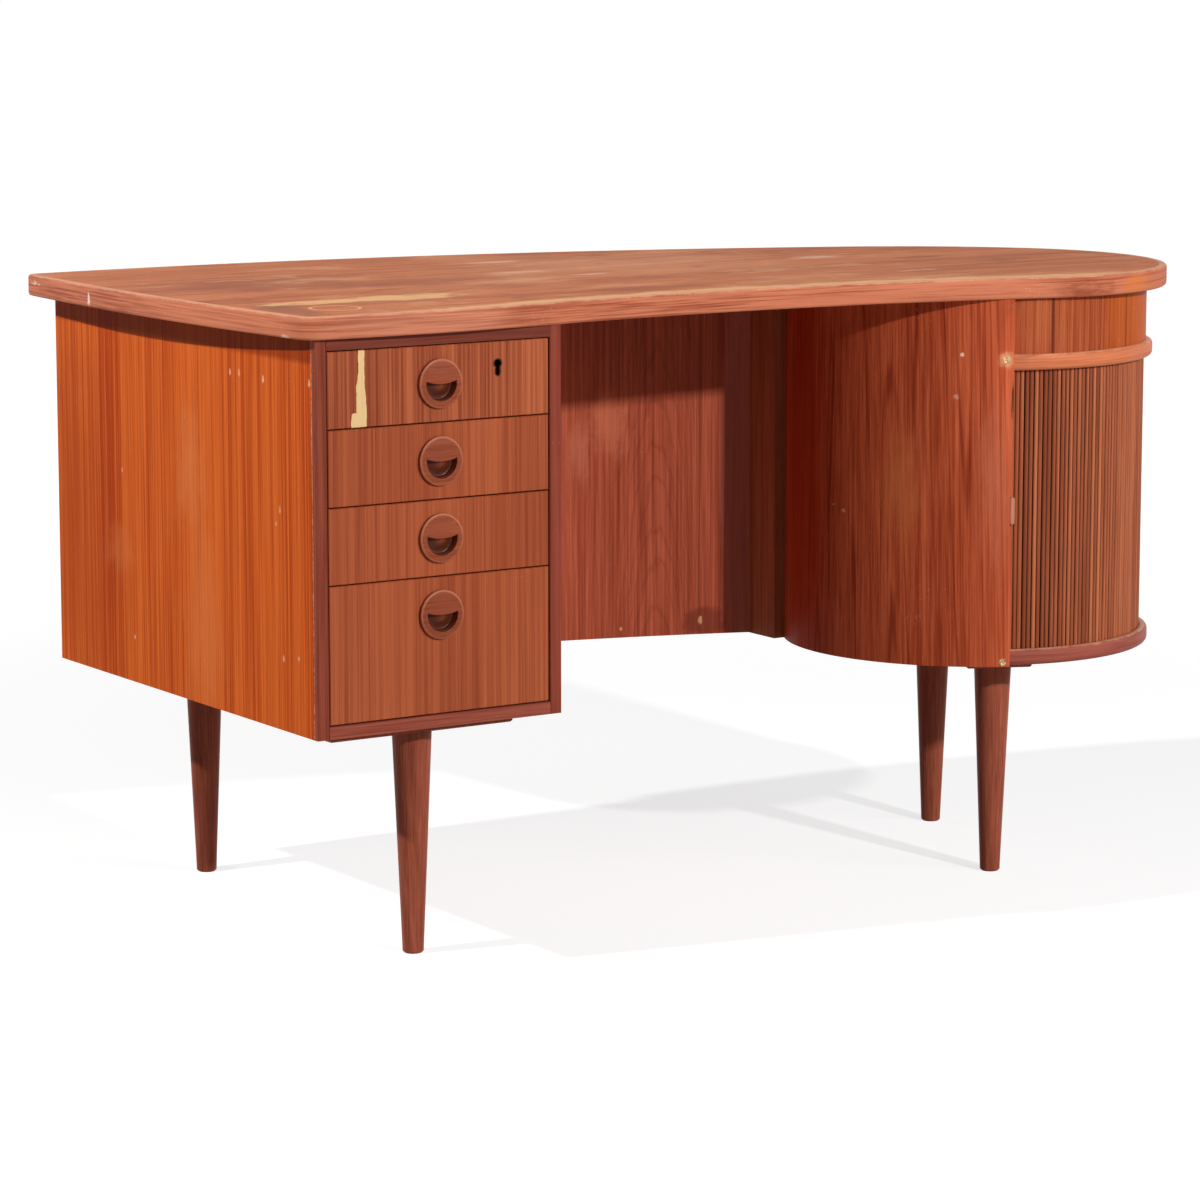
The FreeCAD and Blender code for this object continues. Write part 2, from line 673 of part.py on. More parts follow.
pedestal_leg_x = pedestal_width / 2
leg_rows = (leg_setback, back_point(0, back_overhang).y - leg_setback)
front_foot = drum_point(drum_leg_front, drum_leg_angle + 180)
rear_foot = drum_point(drum_leg_rear, drum_leg_angle)
saved("legs", *[leg(pedestal_leg_x, y) for y in leg_rows], leg(front_foot.x, front_foot.y),
      leg(rear_foot.x, rear_foot.y))
pedestal_battens = []
for y in leg_rows:
    bar = batten(pedestal_leg_x - batten_length / 2, pedestal_leg_x + batten_length / 2, batten_width)
    bar.translate(Vector(0, y, 0))
    pedestal_battens.append(bar)
saved("pedestal_leg_battens", *pedestal_battens)
bar = batten(-drum_leg_front - drum_batten_end, drum_leg_rear + drum_batten_end, drum_batten_width)
bar.translate(Vector(drum_x, drum_y, 0))
saved("drum_leg_batten", turned_about_drum(bar, drum_leg_angle))
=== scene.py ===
import json
import math

import bpy
import numpy as np
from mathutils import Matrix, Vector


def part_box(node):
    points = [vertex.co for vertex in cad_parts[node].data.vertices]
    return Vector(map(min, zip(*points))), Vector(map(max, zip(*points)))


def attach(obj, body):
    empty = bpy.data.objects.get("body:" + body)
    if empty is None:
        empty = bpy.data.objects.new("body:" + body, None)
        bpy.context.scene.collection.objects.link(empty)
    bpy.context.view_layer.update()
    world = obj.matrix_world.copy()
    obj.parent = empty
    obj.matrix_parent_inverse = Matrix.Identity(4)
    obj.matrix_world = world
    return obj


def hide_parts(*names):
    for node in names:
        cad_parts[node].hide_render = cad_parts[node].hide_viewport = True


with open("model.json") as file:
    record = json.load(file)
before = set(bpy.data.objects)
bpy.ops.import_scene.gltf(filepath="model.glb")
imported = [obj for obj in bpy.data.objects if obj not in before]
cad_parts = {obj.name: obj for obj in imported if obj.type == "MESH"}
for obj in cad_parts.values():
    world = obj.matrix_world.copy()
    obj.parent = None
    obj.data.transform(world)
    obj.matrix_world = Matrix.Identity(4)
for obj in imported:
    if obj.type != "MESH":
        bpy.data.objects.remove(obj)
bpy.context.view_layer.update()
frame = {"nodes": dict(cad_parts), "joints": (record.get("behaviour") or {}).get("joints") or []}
nodes = frame["nodes"]
track = next(joint for joint in frame["joints"] if joint["name"] == "tambour_track")
drumX, drumY = track["pos_m"][:2]
print("frame loaded:", len(nodes), "nodes")


# small tools for node trees: a plain value is set on a socket, a socket is linked to it

def put(tree, kind, inputs=(), **props):
    node = tree.nodes.new(kind)
    for key, value in props.items():
        setattr(node, key, value)
    for key, value in dict(inputs).items():
        if isinstance(value, bpy.types.NodeSocket):
            tree.links.new(value, node.inputs[key])
        else:
            node.inputs[key].default_value = value
    return node


def calc(tree, operation, a, b=0.0, clamp=False):
    return put(tree, "ShaderNodeMath", {0: a, 1: b}, operation=operation, use_clamp=clamp).outputs[0]


def moved(tree, operation, a, b):
    node = put(tree, "ShaderNodeVectorMath", {0: a, 1: b}, operation=operation)
    return node.outputs[1 if operation in ("LENGTH", "DISTANCE", "DOT_PRODUCT") else 0]


def step(tree, value, start, end, low=0.0, high=1.0):
    # smooth step from low at start to high at end
    return put(tree, "ShaderNodeMapRange", {0: value, 1: start, 2: end, 3: low, 4: high},
               interpolation_type="SMOOTHSTEP").outputs[0]


def blend(tree, share, a, b, kind="MIX"):
    return put(tree, "ShaderNodeMix", {0: share, 6: a, 7: b}, data_type="RGBA", blend_type=kind).outputs[2]


def cloud(tree, vector, scale, detail=2.0, roughness=0.5):
    return put(tree, "ShaderNodeTexNoise", {"Vector": vector, "Scale": scale, "Detail": detail,
                                            "Roughness": roughness}).outputs[0]


def parts(tree, place):
    return put(tree, "ShaderNodeSeparateXYZ", {0: place}).outputs


def newGroup(name, inputs, outputs):
    tree = bpy.data.node_groups.new(name, "ShaderNodeTree")
    for label, kind, value in inputs:
        socket = tree.interface.new_socket(label, in_out="INPUT", socket_type="NodeSocket" + kind)
        if value is not None:
            socket.default_value = value
    for label, kind in outputs:
        tree.interface.new_socket(label, in_out="OUTPUT", socket_type="NodeSocket" + kind)
    return tree, tree.nodes.new("NodeGroupInput").outputs, tree.nodes.new("NodeGroupOutput")


def teakGrain():
    # the vector is squeezed along the grain, so that noise makes broad figure, streaks, fine lines,
    # dark lines, year rings and pores
    tree, given, out = newGroup("teakGrain", [
        ("Vector", "Vector", None), ("Pale", "Color", (0.5, 0.2, 0.1, 1)),
        ("Deep", "Color", (0.2, 0.06, 0.03, 1)), ("Contrast", "Float", 1.0), ("Lines", "Float", 0.4),
        ("Pores", "Float", 0.35), ("Rings", "Float", 0.2)], [("Color", "Color"), ("Height", "Float")])
    drift = put(tree, "ShaderNodeTexNoise", {"Vector": given["Vector"], "Scale": 5.0, "Detail": 1.0})
    shift = moved(tree, "SUBTRACT", drift.outputs["Color"], (0.5, 0.5, 0.5))
    place = moved(tree, "ADD", given["Vector"], moved(tree, "MULTIPLY", shift, (0.02, 0.02, 0.02)))
    figure = cloud(tree, place, 9.0, 2.0, 0.5)
    streak = cloud(tree, place, 165.0, 4.0, 0.65)
    fine = cloud(tree, place, 420.0, 3.0, 0.6)
    tone = calc(tree, "ADD", calc(tree, "MULTIPLY", figure, 0.28), calc(tree, "MULTIPLY", streak, 0.32))
    tone = calc(tree, "ADD", tone, calc(tree, "MULTIPLY", fine, 0.4))
    gain = calc(tree, "MULTIPLY", given["Contrast"], 6.0)
    tone = calc(tree, "MULTIPLY", calc(tree, "SUBTRACT", tone, 0.5), gain)
    tone = calc(tree, "ADD", tone, 0.48, True)
    colour = blend(tree, tone, given["Pale"], given["Deep"])
    line = step(tree, cloud(tree, place, 46.0, 2.0, 0.5), 0.61, 0.70)
    colour = blend(tree, calc(tree, "MULTIPLY", line, given["Lines"]), colour, given["Deep"], "MULTIPLY")
    # year rings are the contours of a broad noise, drawn thin and here and there fainter
    contour = calc(tree, "MULTIPLY", cloud(tree, place, 13.0, 1.0, 0.4), 16.0)
    ring = step(tree, calc(tree, "PINGPONG", contour, 0.5), 0.13, 0.02)
    faint = step(tree, cloud(tree, place, 70.0, 2.0, 0.5), 0.3, 0.65, 0.25, 1.0)
    ring = calc(tree, "MULTIPLY", calc(tree, "MULTIPLY", ring, faint), given["Rings"])
    colour = blend(tree, ring, colour, given["Deep"], "MULTIPLY")
    pore = step(tree, cloud(tree, place, 900.0, 1.0, 0.5), 0.58, 0.7)
    colour = blend(tree, calc(tree, "MULTIPLY", pore, given["Pores"]), colour, given["Deep"])
    height = calc(tree, "SUBTRACT", calc(tree, "MULTIPLY", streak, 0.3), pore)
    tree.links.new(colour, out.inputs["Color"])
    tree.links.new(height, out.inputs["Height"])
    return tree


def scuffMarks():
    # short pale scratches where a patchy mask lets them through, small specks and soft worn clouds
    tree, given, out = newGroup("scuffMarks", [("Vector", "Vector", None), ("Amount", "Float", 0.3)],
                                [("Scratches", "Float"), ("Worn", "Float")])
    ridge = calc(tree, "SUBTRACT", cloud(tree, given["Vector"], 38.0, 2.0, 0.6), 0.5)
    thin = step(tree, calc(tree, "ABSOLUTE", ridge), 0.005, 0.0)
    patch = step(tree, cloud(tree, given["Vector"], 13.0, 1.0, 0.5), 0.66, 0.74)
    speck = step(tree, cloud(tree, given["Vector"], 190.0, 2.0, 0.6), 0.73, 0.77)
    both = calc(tree, "MAXIMUM", calc(tree, "MULTIPLY", thin, patch), calc(tree, "MULTIPLY", speck, 0.8))
    tree.links.new(calc(tree, "MULTIPLY", both, given["Amount"], True), out.inputs["Scratches"])
    worn = step(tree, cloud(tree, given["Vector"], 4.5, 3.0, 0.55), 0.5, 0.72)
    tree.links.new(calc(tree, "MULTIPLY", worn, given["Amount"], True), out.inputs["Worn"])
    return tree


def smudgeSpot():
    # one patch about a centre: Rag tears its rim, Edge is the share of its size that fades out
    tree, given, out = newGroup("smudgeSpot", [
        ("Vector", "Vector", None), ("Centre", "Vector", None), ("Size", "Vector", (1, 1, 1)),
        ("Rag", "Float", 0.6), ("Edge", "Float", 0.5)], [("Mask", "Float")])
    offset = moved(tree, "DIVIDE", moved(tree, "SUBTRACT", given["Vector"], given["Centre"]), given["Size"])
    torn = calc(tree, "SUBTRACT", cloud(tree, offset, 2.2, 4.0, 0.6), 0.5)
    torn = calc(tree, "MULTIPLY", torn, given["Rag"])
    reach = calc(tree, "ADD", moved(tree, "LENGTH", offset, (0, 0, 0)), torn)
    start = calc(tree, "SUBTRACT", 1.0, given["Edge"])
    tree.links.new(step(tree, reach, start, 1.0, 1.0, 0.0), out.inputs["Mask"])
    return tree


grainGroup = teakGrain()
scuffGroup = scuffMarks()
spotGroup = smudgeSpot()
upright = (1.0, 1.0, 0.016)       # squeeze for grain that stands upright
longUpright = (1.0, 1.0, 0.007)   # upright, with longer streaks
lengthwise = (0.016, 1.0, 1.0)    # along the desk
inward = (1.0, 0.016, 1.0)        # from front to back
level = (0.02, 0.02, 1.0)         # along a curved edge
# roughness over and under a look's own, and the strength and height of the bumps
satin = dict(pits=0.1, ridges=0.06, bump=0.15, grainDepth=0.0006)
creaseAngle = math.radians(38)    # new pieces have a sharp edge where faces turn by more


def spotMask(tree, place, centre, size, rag=0.6, edge=0.5):
    group = put(tree, "ShaderNodeGroup", node_tree=spotGroup)
    tree.links.new(place, group.inputs["Vector"])
    for label, value in (("Centre", centre), ("Size", size), ("Rag", rag), ("Edge", edge)):
        group.inputs[label].default_value = value
    return group.outputs["Mask"]


def teak(name, look, marks=None):
    # grain, scuffs and the piece's own spots and marks on one satin surface
    material = bpy.data.materials.new(name)
    material.use_nodes = True
    tree = material.node_tree
    shader = tree.nodes["Principled BSDF"]
    here = put(tree, "ShaderNodeTexCoord").outputs["Object"]
    turned = put(tree, "ShaderNodeMapping", {"Vector": here, "Location": look.get("shift", (0, 0, 0)),
                                             "Rotation": look.get("slant", (0, 0, 0))}).outputs[0]
    grain = put(tree, "ShaderNodeGroup", node_tree=grainGroup)
    tree.links.new(moved(tree, "MULTIPLY", turned, look["grain"]), grain.inputs["Vector"])
    for label, value in (("Pale", (*look["pale"], 1)), ("Deep", (*look["deep"], 1)),
                         ("Contrast", look.get("contrast", 1.0)), ("Lines", look.get("lines", 0.35)),
                         ("Pores", look.get("pores", 0.35)), ("Rings", look.get("rings", 0.15))):
        grain.inputs[label].default_value = value
    scuff = put(tree, "ShaderNodeGroup", node_tree=scuffGroup)
    scuff.inputs["Amount"].default_value = look.get("scuff", 0.25)
    tree.links.new(turned, scuff.inputs["Vector"])
    worn = calc(tree, "MULTIPLY", scuff.outputs["Worn"], look.get("fade", 0.6))
    colour = blend(tree, worn, grain.outputs["Color"], (*look.get("faded", look["pale"]), 1))
    for tint, strength, centre, size, rag, edge in look.get("spots", ()):
        share = calc(tree, "MULTIPLY", spotMask(tree, here, centre, size, rag, edge), strength)
        colour = blend(tree, share, colour, (*tint, 1))
    colour = blend(tree, scuff.outputs["Scratches"], colour, (*look.get("scratch", (0.62, 0.42, 0.3)), 1))
    if marks:
        colour = marks(tree, here, colour)
    tree.links.new(colour, shader.inputs["Base Color"])
    rough, height = look.get("rough", 0.5), grain.outputs["Height"]
    sheen = step(tree, height, -1.0, 0.4, rough + satin["pits"], rough - satin["ridges"])
    tree.links.new(sheen, shader.inputs["Roughness"])
    bump = put(tree, "ShaderNodeBump", {"Height": height, "Strength": satin["bump"],
                                        "Distance": satin["grainDepth"]})
    tree.links.new(bump.outputs[0], shader.inputs["Normal"])
    shader.inputs["Specular IOR Level"].default_value = look.get("gloss", 0.08)
    return material


def wear(material, *names):
    for name in names:
        nodes[name].data.materials.clear()
        nodes[name].data.materials.append(material)


# new pieces: a surface from points and faces, and a tube from a grid of sections

def surface(name, points, faces, material, body, slot, *replaced):
    mesh = bpy.data.meshes.new(name)
    mesh.from_pydata(np.asarray(points).tolist(), [], faces)
    mesh.shade_smooth()
    mesh.set_sharp_from_angle(angle=creaseAngle)
    mesh.materials.append(material)
    piece = bpy.data.objects.new(name, mesh)
    bpy.context.scene.collection.objects.link(piece)
    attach(piece, body)
    if replaced:
        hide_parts(*replaced)
    return piece


def tubeFaces(rows, columns, closed, first=0):
    # quads between neighbouring sections of a closed outline, with end caps where the tube is open
    grid = first + np.arange(rows * columns).reshape(rows, columns)
    beside = np.roll(grid, -1, axis=1)
    quads = np.stack([grid, beside, np.roll(beside, -1, axis=0), np.roll(grid, -1, axis=0)], axis=2)
    if closed:
        return quads.reshape(-1, 4).tolist()
    return quads[:-1].reshape(-1, 4).tolist() + [grid[0, ::-1].tolist(), grid[-1].tolist()]


def roundedCorner(centre, radius, start, end, count=5):
    # points on a circle about centre, from the start angle to the end angle in degrees
    turn = np.radians(np.linspace(start, end, count))
    return np.column_stack([centre[0] + radius * np.cos(turn), centre[1] + radius * np.sin(turn)])


# carcass veneers
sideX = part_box("pedestal_left_side")[0].x
sideChip, sidePale = (0.84, 0.52, 0.34), (0.70, 0.19, 0.055)
sideLook = dict(
    grain=longUpright, pale=(0.71, 0.142, 0.022), deep=(0.42, 0.049, 0.006), contrast=1.3, lines=0.3,
    rings=0.3, scuff=0.25, scratch=(0.8, 0.42, 0.24), faded=(0.72, 0.19, 0.045), fade=0.5, rough=0.55,
    gloss=0.02, spots=[
        (sidePale, 0.55, (sideX, -0.002, 0.530), (0.012, 0.05, 0.10), 1.2, 0.9),
        (sidePale, 0.50, (sideX, -0.030, 0.360), (0.012, 0.06, 0.15), 1.0, 0.9),
        (sidePale, 0.40, (sideX, 0.180, 0.420), (0.012, 0.05, 0.04), 1.0, 0.9),
        ((0.30, 0.026, 0.006), 0.35, (sideX, 0.270, 0.430), (0.012, 0.15, 0.30), 0.8, 0.8),
        (sideChip, 0.9, (sideX, -0.101, 0.653), (0.012, 0.0025, 0.0050), 2.0, 0.8),
        (sideChip, 0.5, (sideX, -0.122, 0.654), (0.012, 0.0037, 0.0058), 2.0, 0.8),
        (sideChip, 0.9, (sideX, -0.177, 0.652), (0.012, 0.0031, 0.0058), 2.0, 0.8),
        (sideChip, 0.8, (sideX, -0.280, 0.657), (0.012, 0.0031, 0.0058), 2.0, 0.8),
        (sideChip, 0.5, (sideX, 0.167, 0.514), (0.012, 0.0025, 0.0043), 2.0, 0.8),
        (sideChip, 0.7, (sideX, 0.141, 0.321), (0.012, 0.0025, 0.0036), 2.0, 0.8),
        (sideChip, 0.8, (sideX, -0.217, 0.348), (0.012, 0.0025, 0.0050), 2.0, 0.8),
        (sideChip, 0.7, (sideX, -0.251, 0.353), (0.012, 0.0025, 0.0036), 2.0, 0.8),
        (sideChip, 0.6, (sideX, -0.212, 0.512), (0.012, 0.0025, 0.0058), 2.0, 0.8),
        (sideChip, 0.5, (sideX, -0.203, 0.496), (0.012, 0.0025, 0.0036), 2.0, 0.8)])
# the dark strip just under the slab is painted shade cast by the slab's overhang
sideEdges = dict(underSlabShadeEnd=0.031, underSlabShadeStart=0.023, underSlabShade=(0.16, 0.010, 0.001, 1), underSlabShadeShare=0.6,
                 wornStart=0.0015, wornEnd=0.003, worn=(0.80, 0.36, 0.20, 1), wornShare=0.7, rag=0.006)


def sideShadeAndWear(tree, place, colour):
    # a dark strip under the slab, painted shade of the slab's overhang, and a pale broken line beside the
    # dark lipping at the front
    edges = sideEdges
    _, y, z = parts(tree, place)
    slab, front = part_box("desktop_lipping")[0].z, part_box("pedestal_left_side")[0].y
    lower, upper = slab - edges["underSlabShadeEnd"], slab - edges["underSlabShadeStart"]
    strip = step(tree, z, lower, upper, 0.0, edges["underSlabShadeShare"])
    colour = blend(tree, strip, colour, edges["underSlabShade"])
    y = calc(tree, "SUBTRACT", y, calc(tree, "MULTIPLY", cloud(tree, place, 150.0, 3.0, 0.6), edges["rag"]))
    edge = step(tree, y, front - edges["wornStart"], front - edges["wornEnd"], 0.0, edges["wornShare"])
    return blend(tree, edge, colour, edges["worn"])


wear(teak("sideVeneer", sideLook, sideShadeAndWear), "pedestal_left_side")
wear(teak("rightSideVeneer", {**sideLook, "shift": (0.31, 0.2, 0.4), "spots": ()}), "pedestal_right_side")
wear(teak("endPanelEdge", dict(grain=upright, pale=(0.50, 0.160, 0.075), deep=(0.32, 0.090, 0.040))),
     "bookcase_end_panel")

drawerLook = dict(
    grain=longUpright, pale=(0.47, 0.120, 0.045), deep=(0.23, 0.040, 0.0145), contrast=1.05, lines=0.35,
    rings=0.3, scuff=0.1, faded=(0.52, 0.17, 0.075), rough=0.5, gloss=0.08)
veneerLoss = dict(
    topZ=0.6905, stepZ=0.6223, bottomZ=0.6070, topLeft=-0.5487, topRight=-0.5413, midLeft=-0.5515,
    bottomLeft=-0.5575, bottomRight=-0.5386, depth=0.0012, rag=0.006, tear=0.001,
    bare=(0.84, 0.60, 0.30, 1), bareDark=(0.70, 0.44, 0.19, 1))


def lostVeneer(tree, place, colour):
    # a strip between two ragged lines that spread towards the drawer's bottom, with a tear at the left
    x, y, z = parts(tree, place)
    loss = veneerLoss
    ragged = moved(tree, "MULTIPLY", place, (1, 1, 0.35))
    jitter = calc(tree, "SUBTRACT", cloud(tree, ragged, 130.0, 3.0, 0.6), 0.5)
    jitter = calc(tree, "MULTIPLY", jitter, loss["rag"])
    x = calc(tree, "ADD", x, jitter)
    left = step(tree, z, loss["stepZ"], loss["topZ"], loss["midLeft"], loss["topLeft"])
    torn = step(tree, calc(tree, "ADD", z, jitter), loss["stepZ"], loss["stepZ"] - loss["tear"])
    left = calc(tree, "ADD", left, calc(tree, "MULTIPLY", torn, loss["bottomLeft"] - loss["midLeft"]))
    right = step(tree, z, loss["bottomZ"], loss["topZ"], loss["bottomRight"], loss["topRight"])
    inside = calc(tree, "MULTIPLY", calc(tree, "GREATER_THAN", x, left), calc(tree, "LESS_THAN", x, right))
    inside = calc(tree, "MULTIPLY", inside, calc(tree, "LESS_THAN", y, faceY + loss["depth"]))
    fibres = cloud(tree, moved(tree, "MULTIPLY", place, upright), 420.0, 2.0)
    return blend(tree, inside, colour, blend(tree, fibres, loss["bare"], loss["bareDark"]))


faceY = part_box("drawer_1_front")[0].y
keyhole = dict(fromSide=0.231, belowTop=0.024, slotDrop=0.0085, paintedShade=(0.03, 0.008, 0.004))
keyX, keyZ = sideX + keyhole["fromSide"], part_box("drawer_1_front")[1].z - keyhole["belowTop"]
slotZ = keyZ - keyhole["slotDrop"]
# painted shade round the keyhole, which widens the dark of the hole's opening
keyholeShade = [(keyhole["paintedShade"], 0.95, (keyX, faceY, keyZ), (0.0067, 0.1, 0.0062), 0.3, 0.25),
            (keyhole["paintedShade"], 0.95, (keyX, faceY, slotZ), (0.0049, 0.1, 0.0070), 0.3, 0.25)]
lowerTint = [((0.34, 0.066, 0.022), 0.42, (sideX + 0.1, faceY, 0.47), (0.4, 0.1, 0.3), 0.5, 0.6)]
for number in range(1, 5):
    spots, marks = (keyholeShade, lostVeneer) if number == 1 else (lowerTint, None)
    look = {**drawerLook, "shift": (0.0, 0.37 * number, 0.9 * number), "spots": spots}
    wear(teak(f"drawerVeneer{number}", look, marks), f"drawer_{number}_front")

boxLook = dict(
    grain=inward, pale=(0.64, 0.39, 0.20), deep=(0.46, 0.25, 0.11), contrast=0.7, lines=0.15, scuff=0.1,
    faded=(0.66, 0.42, 0.23), rough=0.65, gloss=0.08)
runnerTint = dict(pale=(0.46, 0.27, 0.12), deep=(0.30, 0.15, 0.06))
boxWood = teak("drawerBoxWood", boxLook)
boxBack = teak("drawerBackWood", {**boxLook, "grain": lengthwise})
for number in range(1, 5):
    wear(boxWood, f"drawer_{number}_sides", f"drawer_{number}_bottom")
    wear(boxBack, f"drawer_{number}_back")
wear(teak("runnerWood", {**boxLook, **runnerTint}), "drawer_runners")

# eyelid pulls: turned rim with a hollow, and a lid over the hollow's upper half
pullLook = dict(
    grain=lengthwise, pale=(0.34, 0.078, 0.032), deep=(0.20, 0.036, 0.014), contrast=0.6, lines=0.2,
    scuff=0.1, rough=0.30, gloss=0.10, paintedShade=(0.060, 0.013, 0.005, 1), rimHighlight=(0.74, 0.30, 0.17, 1),
    crown=0.006, rim=0.004, easing=0.0016, plug=0.006, plugInset=0.0005, plugLedge=0.0002,
    hollow=0.0192, lip=0.0007, moat=-0.0038, moatShare=0.86, pad=0.0020,
    lidZ=0.0032, droop=0.0036, lidEdge=0.0009, lidThickness=0.003, lidOverlap=1.2, lidTips=0.996,
    lidProud=0.00004, columns=72, lidRows=41)
# painted light on the pulls: a pale painted highlight on the rim and painted shade in the hollow
pullPaintedLight = dict(rimInner=0.0032, rimOuter=0.0012, rimHighlightShare=0.42, rimFoot=0.0015, rimTop=0.0028, below=0.3,
                mouth=0.0046, throat=0.0030, floorStart=0.0020, floorEnd=-0.0030, paintedShadeShare=0.45,
                edge=0.0008)


def pullHighlightAndShade(node):
    # the finger hollow gets painted shade in two steps of depth, and the rim a pale painted highlight, more
    # so at the top
    worn = pullPaintedLight
    low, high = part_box(node)
    axis = ((low.x + high.x) / 2, 0.0, (low.z + high.z) / 2)
    radius = (high.x - low.x) / 2

    def marks(tree, place, colour):
        _, y, z = parts(tree, place)
        reach = moved(tree, "DISTANCE", moved(tree, "MULTIPLY", place, (1, 0, 1)), axis)
        rim = step(tree, reach, radius - worn["rimInner"], radius - worn["rimOuter"], 0.0, worn["rimHighlightShare"])
        out = step(tree, y, faceY - worn["rimFoot"], faceY - worn["rimTop"])
        up = step(tree, z, axis[2] - radius, axis[2] + radius, worn["below"], 1.0)
        rim = calc(tree, "MULTIPLY", calc(tree, "MULTIPLY", rim, out), up)
        colour = blend(tree, rim, colour, pullLook["rimHighlight"])
        share = worn["paintedShadeShare"]
        upper = step(tree, y, faceY - worn["mouth"], faceY - worn["throat"], 0.0, share)
        lower = step(tree, y, faceY - worn["floorStart"], faceY - worn["floorEnd"], 0.0, share)
        deep = calc(tree, "ADD", upper, lower)
        inside = step(tree, reach, pullLook["hollow"] + worn["edge"], pullLook["hollow"])
        return blend(tree, calc(tree, "MULTIPLY", deep, inside), colour, pullLook["paintedShade"])
    return marks


def pullRim(radius, crownAt, look):
    # radius and height over the drawer's face, from the plug's back round the rim and into the hollow,
    # whose floor is a half wave from the middle pad to the moat, and then a square law up to the lip
    ease, lip, hollow = look["easing"], look["lip"], look["hollow"]
    plug = radius - look["plugInset"]
    wall = [(plug, -look["plug"]), (plug, -look["plugLedge"]), (radius, 0.0)]
    corner = roundedCorner((radius - ease, crownAt(radius - ease) - ease), ease, 0, 90, 7)
    face = [(r, crownAt(r)) for r in np.linspace(radius - 1.5 * ease, hollow + 1.5 * lip, 5)]
    edge = roundedCorner((hollow + lip, crownAt(hollow + lip) - lip), lip, 90, 180, 4)
    share = np.linspace(0.98, 0.02, 22)
    inner, outer = share / look["moatShare"], (share - look["moatShare"]) / (1 - look["moatShare"])
    rise = look["pad"] + (look["moat"] - look["pad"]) * (1 - np.cos(np.pi * np.clip(inner, 0, 1))) / 2
    bowl = rise + (edge[-1, 1] - look["moat"]) * np.clip(outer, 0, 1) ** 2
    return np.vstack([wall, corner, face, edge, np.column_stack([share * hollow, bowl])])


def pullPiece(node, look):
    # the rim's profile turned about the pull's axis, and a lid made of upright sections from left to right:
    # each runs from the arc of the hollow down to the lid's lower edge, which droops as a parabola
    low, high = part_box(node)
    centre = np.array([(low.x + high.x) / 2, faceY, (low.z + high.z) / 2])
    radius = (high.x - low.x) / 2

    def crownAt(r):
        return look["crown"] - (look["crown"] - look["rim"]) * (r / radius) ** 2

    rim = pullRim(radius, crownAt, look)
    turn = np.linspace(0, 2 * math.pi, look["columns"], endpoint=False)
    rimPoints = np.stack([np.outer(rim[:, 0], np.cos(turn)), np.tile(-rim[:, 1:], (1, len(turn))),
                          np.outer(rim[:, 0], np.sin(turn))], axis=2).reshape(-1, 3)
    reach, ease = look["hollow"] + look["lidOverlap"] * look["lip"], look["lidEdge"]
    sweep = np.linspace(-math.pi / 2, math.pi / 2, look["lidRows"])
    x = look["lidTips"] * reach * np.sin(sweep)[:, None]
    top = np.sqrt(reach ** 2 - x ** 2)
    bottom = look["lidZ"] - look["droop"] * (1 - (x / reach) ** 2)
    z = top + (bottom + ease - top) * np.linspace(0, 1, 6)
    height = crownAt(np.hypot(x, z)) + look["lidProud"]
    edge = roundedCorner((0, -ease), ease, 90, 180, 4)[1:]
    z = np.hstack([bottom, top, z, z[:, -1:] + edge[:, 0]])
    back = height[:, -1:] - look["lidThickness"]
    height = np.hstack([back, back, height, height[:, -1:] + edge[:, 1]])
    lidPoints = np.stack([np.broadcast_to(x, z.shape), -height, z], axis=2)
    faces = tubeFaces(len(rim), len(turn), False)
    faces += tubeFaces(*z.shape, False, len(rimPoints))
    return np.vstack([rimPoints, lidPoints.reshape(-1, 3)]) + centre, faces


for number in range(1, 5):
    node = f"drawer_{number}_pull"
    look = {**pullLook, "shift": (0.0, 0.0, 0.31 * number)}
    pullTeak = teak(f"pullTeak{number}", look, pullHighlightAndShade(node))
    points, faces = pullPiece(node, pullLook)
    surface(f"turnedPull{number}", points, faces, pullTeak, f"drawer_{number}", "turned_teak", node)

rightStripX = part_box("pedestal_right_side")[0].x + 0.008   # middle of the right-hand strip
stripLook = dict(
    grain=upright, pale=(0.31, 0.066, 0.034), deep=(0.17, 0.028, 0.014), contrast=0.9, scuff=0.3,
    scratch=(0.55, 0.3, 0.2), rough=0.5, gloss=0.08, spots=[
        ((0.42, 0.088, 0.050), 0.3, (rightStripX, faceY, 0.48), (0.02, 0.1, 0.3), 0.3, 0.4)])
wear(teak("sideStrip", stripLook), "pedestal_side_lippings")
bottomTint = dict(grain=lengthwise, pale=(0.36, 0.090, 0.055))
wear(teak("bottomStrip", {**stripLook, **bottomTint}), "pedestal_bottom")
# the top rail's darker brown is painted shade of the slab above it
railShadeTint = dict(grain=lengthwise, pale=(0.21, 0.044, 0.025), deep=(0.11, 0.020, 0.011), spots=())
wear(teak("topRailPaintedShade", {**stripLook, **railShadeTint}), "pedestal_top_rail")

